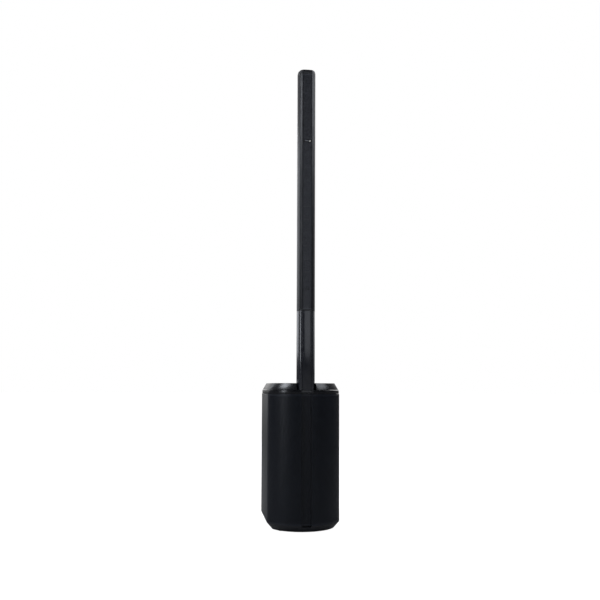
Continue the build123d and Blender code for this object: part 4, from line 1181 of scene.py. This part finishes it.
def buildMarkings():
    # printed lines between the channels, a frame, and plain symbols in place of lettering
    look = markLook
    line = look["line"]
    low, high = panelBox
    face = high.y
    under, over = face - look["sink"], face + look["proud"]
    across = 2 * (high.x - look["rowMargin"])
    marks = [mark(line, look["dividerHeight"], x, low.z + look["dividerAt"]) for x in look["dividers"]]
    marks += [mark(across, line, 0, low.z + z) for z in look["rows"]]
    outlines = []
    for inset in (0, look["frameLine"]):
        width = 2 * (high.x - look["frameX"] - inset)
        height = high.z - low.z - 2 * (look["frameZ"] + inset)
        outlines.append(roundedOutline(width, height, look["frameCorner"] - inset, 4))
    marks.append(facingFrame("frameMark", *outlines, (low.z + high.z) / 2, under, over))
    # a scale of growing dots round each knob
    for number in (1, 2, 3):
        spot = sum(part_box("knob_%d" % number), Vector()) / 2
        for i in range(look["dots"]):
            a = math.radians(look["dotsFrom"] + look["dotsOver"] * i / (look["dots"] - 1))
            size = (look["dot"] + look["dotGrow"] * i) * mm
            x, z = spot.x + look["dotsOut"] * math.sin(a), spot.z + look["dotsOut"] * math.cos(a)
            marks.append(mark(size, size, x, z, size * 0.45))
    # a thin ring round each round socket
    for node in ("combo_jack_1", "combo_jack_2", "line_output_socket"):
        start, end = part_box(node)
        radius = max(end.x - start.x, end.z - start.z) / 2 + look["socketGap"]
        marks.append(openRing("ringMark", radius, radius + line, under, over, (start + end) / 2))
    # two strokes under each key and a status lens above it
    lenses = []
    profile = [(tip, face - 0.4 * mm), (look["lens"], face - 0.4 * mm), (look["lens"], face),
               (look["lensTop"], face + 0.35 * mm), (tip, face + 0.5 * mm)]
    for node in keyNames:
        start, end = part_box(node)
        x, z = (start.x + end.x) / 2, start.z - look["strokeDrop"]
        for i, width in enumerate(look["strokes"]):
            marks.append(mark(width, look["stroke"], x, z - i * look["strokeStep"]))
        lenses.append(turned("lens", profile, Vector((x, 0, end.z + look["lensRise"])), 16))
    dress(joined("panelMarks", marks), panelInk, "base", "panel_plastic")
    whole = joined("statusLenses", lenses)
    whole.data.polygons.foreach_set("use_smooth", [True] * len(whole.data.polygons))
    dress(whole, ringLens, "base", "button_plastic")


buildKnobs()
buildKeys()
buildScrews()
buildDriverScrews()
buildMarkings()
print("controls built")


# handle and feet

gripLook = {
    "corner": 7 * mm, "edge": 0.5 * mm, "ribs": 17, "ribStep": 5.5 * mm, "ribWidth": 2.4 * mm,
    "ribHeight": 0.7 * mm, "ribShoulder": 0.96, "ribFlat": 0.6,
}


def buildGrip():
    look = gripLook
    low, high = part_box("handle_grip")
    middle = (low + high) / 2
    deep, tall = high.y - low.y, high.z - low.z
    outline = roundedOutline(deep, tall, look["corner"], 8)
    rings = [[Vector((x, middle.y + u, middle.z + v)) for u, v in outline] for x in (low.x, high.x)]
    grip = loft("handleGrip", rings)
    roundEdges(grip, look["edge"], 2, 50)
    dress(grip, softRubber, "base", "grip_rubber", "handle_grip")
    # raised ribs along the middle of the grip
    rise, half, shoulder = look["ribHeight"], look["ribWidth"] / 2, look["ribShoulder"]
    outline = roundedOutline(deep + 2 * rise, tall + 2 * rise, look["corner"] + rise, 8)
    flat = half * look["ribFlat"]
    rings = [[Vector((x, u * share, v * share)) for u, v in outline]
             for x, share in ((-half, shoulder), (-flat, 1.0), (flat, 1.0), (half, shoulder))]
    first = (look["ribs"] - 1) / 2
    places = [Vector(((i - first) * look["ribStep"], middle.y, middle.z)) for i in range(look["ribs"])]
    ribs = setCopies("gripRibs", places, loft("gripRib", rings), softRubber)
    return dress(ribs, softRubber, "base", "grip_rubber")


footLook = {"dimple": 0.5 * mm, "edge": 0.2 * mm, "lip": 0.8 * mm, "steps": 40}


def buildFeet():
    look = footLook
    low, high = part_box("rubber_feet")
    # one group of points for each corner of the base
    groups = {}
    for vertex in frame["nodes"]["rubber_feet"].data.vertices:
        groups.setdefault((vertex.co.x > 0, vertex.co.y > 0), []).append(vertex.co.copy())
    for number, group in enumerate(groups.values(), start=1):
        xs, ys = [p.x for p in group], [p.y for p in group]
        x, y = (min(xs) + max(xs)) / 2, (min(ys) + max(ys)) / 2
        radius = (max(xs) - min(xs)) / 2
        rings = []
        for r, z in ((radius * 0.3, low.z + look["dimple"]), (radius * 0.35, low.z), (radius * 0.88, low.z),
                     (radius, low.z + look["lip"]), (radius, high.z)):
            turns = [2 * math.pi * i / look["steps"] for i in range(look["steps"])]
            rings.append([Vector((x + r * math.cos(a), y + r * math.sin(a), z)) for a in turns])
        foot = loft("foot%d" % number, rings)
        roundEdges(foot, look["edge"], 2, 30)
        dress(foot, softRubber, "base", "foot_rubber", "rubber_feet")


buildGrip()
buildFeet()
print("handle and feet built")


# floor, light and camera

stageLook = {
    "floorHalf": 60.0, "floor": "#ffffff", "glow": 0.97, "paper": ("#b4b4b3", "#bbbbba"),
    "paperRough": 0.9,
}


def buildStage():
    half = stageLook["floorHalf"]
    floor = meshFrom("studioFloor", [(-half, -half, 0), (half, -half, 0), (half, half, 0), (-half, half, 0)],
                     [(0, 1, 2, 3)])
    material, tree, where, shader = startMaterial("palePaper")
    darker, lighter = stageLook["paper"]
    tone = addNode(tree, "TexNoise", {"Vector": where, "Scale": 1.5, "Detail": 2.0})
    colour = addNode(tree, "Mix", {"Factor": tone, "A": linear(darker), "B": linear(lighter)},
                     data_type="RGBA")
    setSockets(tree, shader, {"Base Color": colour})
    shader.inputs["Roughness"].default_value = stageLook["paperRough"]
    shader.inputs["Emission Color"].default_value = linear(stageLook["floor"])
    # the glow keeps the paper pale for the camera and lights nothing
    seen = addNode(tree, "LightPath")
    glow = addNode(tree, "Math", {0: seen.outputs["Is Camera Ray"], 1: stageLook["glow"]},
                   operation="MULTIPLY")
    setSockets(tree, shader, {"Emission Strength": glow})
    floor.data.materials.append(material)


worldLook = {"behind": 0.36, "ahead": 0.010, "above": 0.05, "band": 0.5}


def buildWorld():
    # pale studio: bright behind the object, dim on the camera's side
    world = bpy.data.worlds.new("studio")
    bpy.context.scene.world = world
    world.use_nodes = True
    tree = world.node_tree
    tree.nodes.clear()
    where = addNode(tree, "TexCoord")
    split = addNode(tree, "SeparateXYZ", {"Vector": where.outputs["Generated"]})
    behind = addNode(tree, "MapRange", {"Value": split.outputs["Y"], "From Min": -0.1, "From Max": 0.9,
                                        "To Min": worldLook["ahead"], "To Max": worldLook["behind"]},
                     interpolation_type="SMOOTHSTEP")
    above = addNode(tree, "MapRange", {"Value": split.outputs["Z"], "From Min": 0.2, "From Max": 1.0,
                                       "To Min": 0.0, "To Max": worldLook["above"]},
                    interpolation_type="SMOOTHSTEP")
    light = addNode(tree, "Math", {0: behind, 1: above}, operation="ADD")
    # a brighter band low down behind, where the backdrop curves up
    rise = addNode(tree, "MapRange", {"Value": split.outputs["Z"], "From Min": 0.03, "From Max": 0.13},
                   interpolation_type="SMOOTHSTEP")
    fall = addNode(tree, "MapRange", {"Value": split.outputs["Y"], "From Min": 0.55, "From Max": 0.98,
                                      "To Max": worldLook["band"]}, interpolation_type="SMOOTHSTEP")
    band = addNode(tree, "Math", {0: rise, 1: fall, 2: light}, operation="MULTIPLY_ADD")
    seen = addNode(tree, "LightPath")
    level = addNode(tree, "Mix", {"Factor": seen.outputs["Is Camera Ray"], "A": band, "B": 1.0},
                    data_type="FLOAT")
    sky = addNode(tree, "Background", {"Strength": level, "Color": (1.0, 1.0, 1.0, 1.0)})
    addNode(tree, "OutputWorld", {"Surface": sky})


# place, target, size and power of each lamp
lampTint = "#f2f7ff"
softboxes = {
    "softboxLeft": ((-3.0, -1.75, 1.4), (0, 0, 1.4), (0.55, 1.8), 19),
    "softboxHigh": ((-2.2, -0.4, 3.4), (0, 0, 0.6), (1.1, 1.1), 36),
    "softboxRear": ((-2.4, 2.1, 1.9), (0, 0, 1.4), (0.8, 2.2), 13),
    "softboxRight": ((3.0, -0.9, 1.9), (0, 0, 0.9), (0.6, 2.4), 2),
    "softboxTop": ((2.1, -0.6, 3.3), (0, 0, 0.6), (1.8, 1.6), 30),
    "softboxFront": ((0.9, -4.6, 2.2), (0, 0, 1.3), (2.0, 3.0), 20),
    "softboxBack": ((0.5, 4.4, 2.7), (0, 0, 0.6), (1.2, 1.6), 45),
}


def addSoftbox(name, place, target, size, power):
    light = bpy.data.lights.new(name, "AREA")
    light.shape = "RECTANGLE"
    light.size, light.size_y = size
    light.energy = power
    light.color = linear(lampTint)[:3]
    lamp = bpy.data.objects.new(name, light)
    bpy.context.scene.collection.objects.link(lamp)
    lamp.location = place
    lamp.visible_camera = False
    lamp.rotation_mode = "QUATERNION"
    lamp.rotation_quaternion = (Vector(target) - Vector(place)).to_track_quat("-Z", "Y")


cameraLook = {
    "place": (-0.4508, -3.361, 0.62), "yaw": 7.62, "pitch": 3.7, "roll": 0.2, "lens": 44.7,
    "shift": 0.0633, "sensor": 36.0, "reach": 60.0,
}


def buildCamera():
    look = cameraLook
    data = bpy.data.cameras.new("camera")
    data.lens = look["lens"]
    data.sensor_width = look["sensor"]
    data.shift_y = look["shift"]
    data.clip_end = look["reach"]
    camera = bpy.data.objects.new("camera", data)
    bpy.context.scene.collection.objects.link(camera)
    camera.location = look["place"]
    yaw, pitch = math.radians(look["yaw"]), math.radians(look["pitch"])
    aim = Vector((math.sin(yaw) * math.cos(pitch), math.cos(yaw) * math.cos(pitch), math.sin(pitch)))
    roll = Matrix.Rotation(math.radians(look["roll"]), 4, "Z")
    turn = aim.to_track_quat("-Z", "Y").to_matrix().to_4x4() @ roll
    camera.rotation_mode = "QUATERNION"
    camera.rotation_quaternion = turn.to_quaternion()
    bpy.context.scene.camera = camera


buildStage()
buildWorld()
for name, settings in softboxes.items():
    addSoftbox(name, *settings)
buildCamera()
bpy.context.scene.view_settings.view_transform = "Standard"
print("stage, light and camera ready")
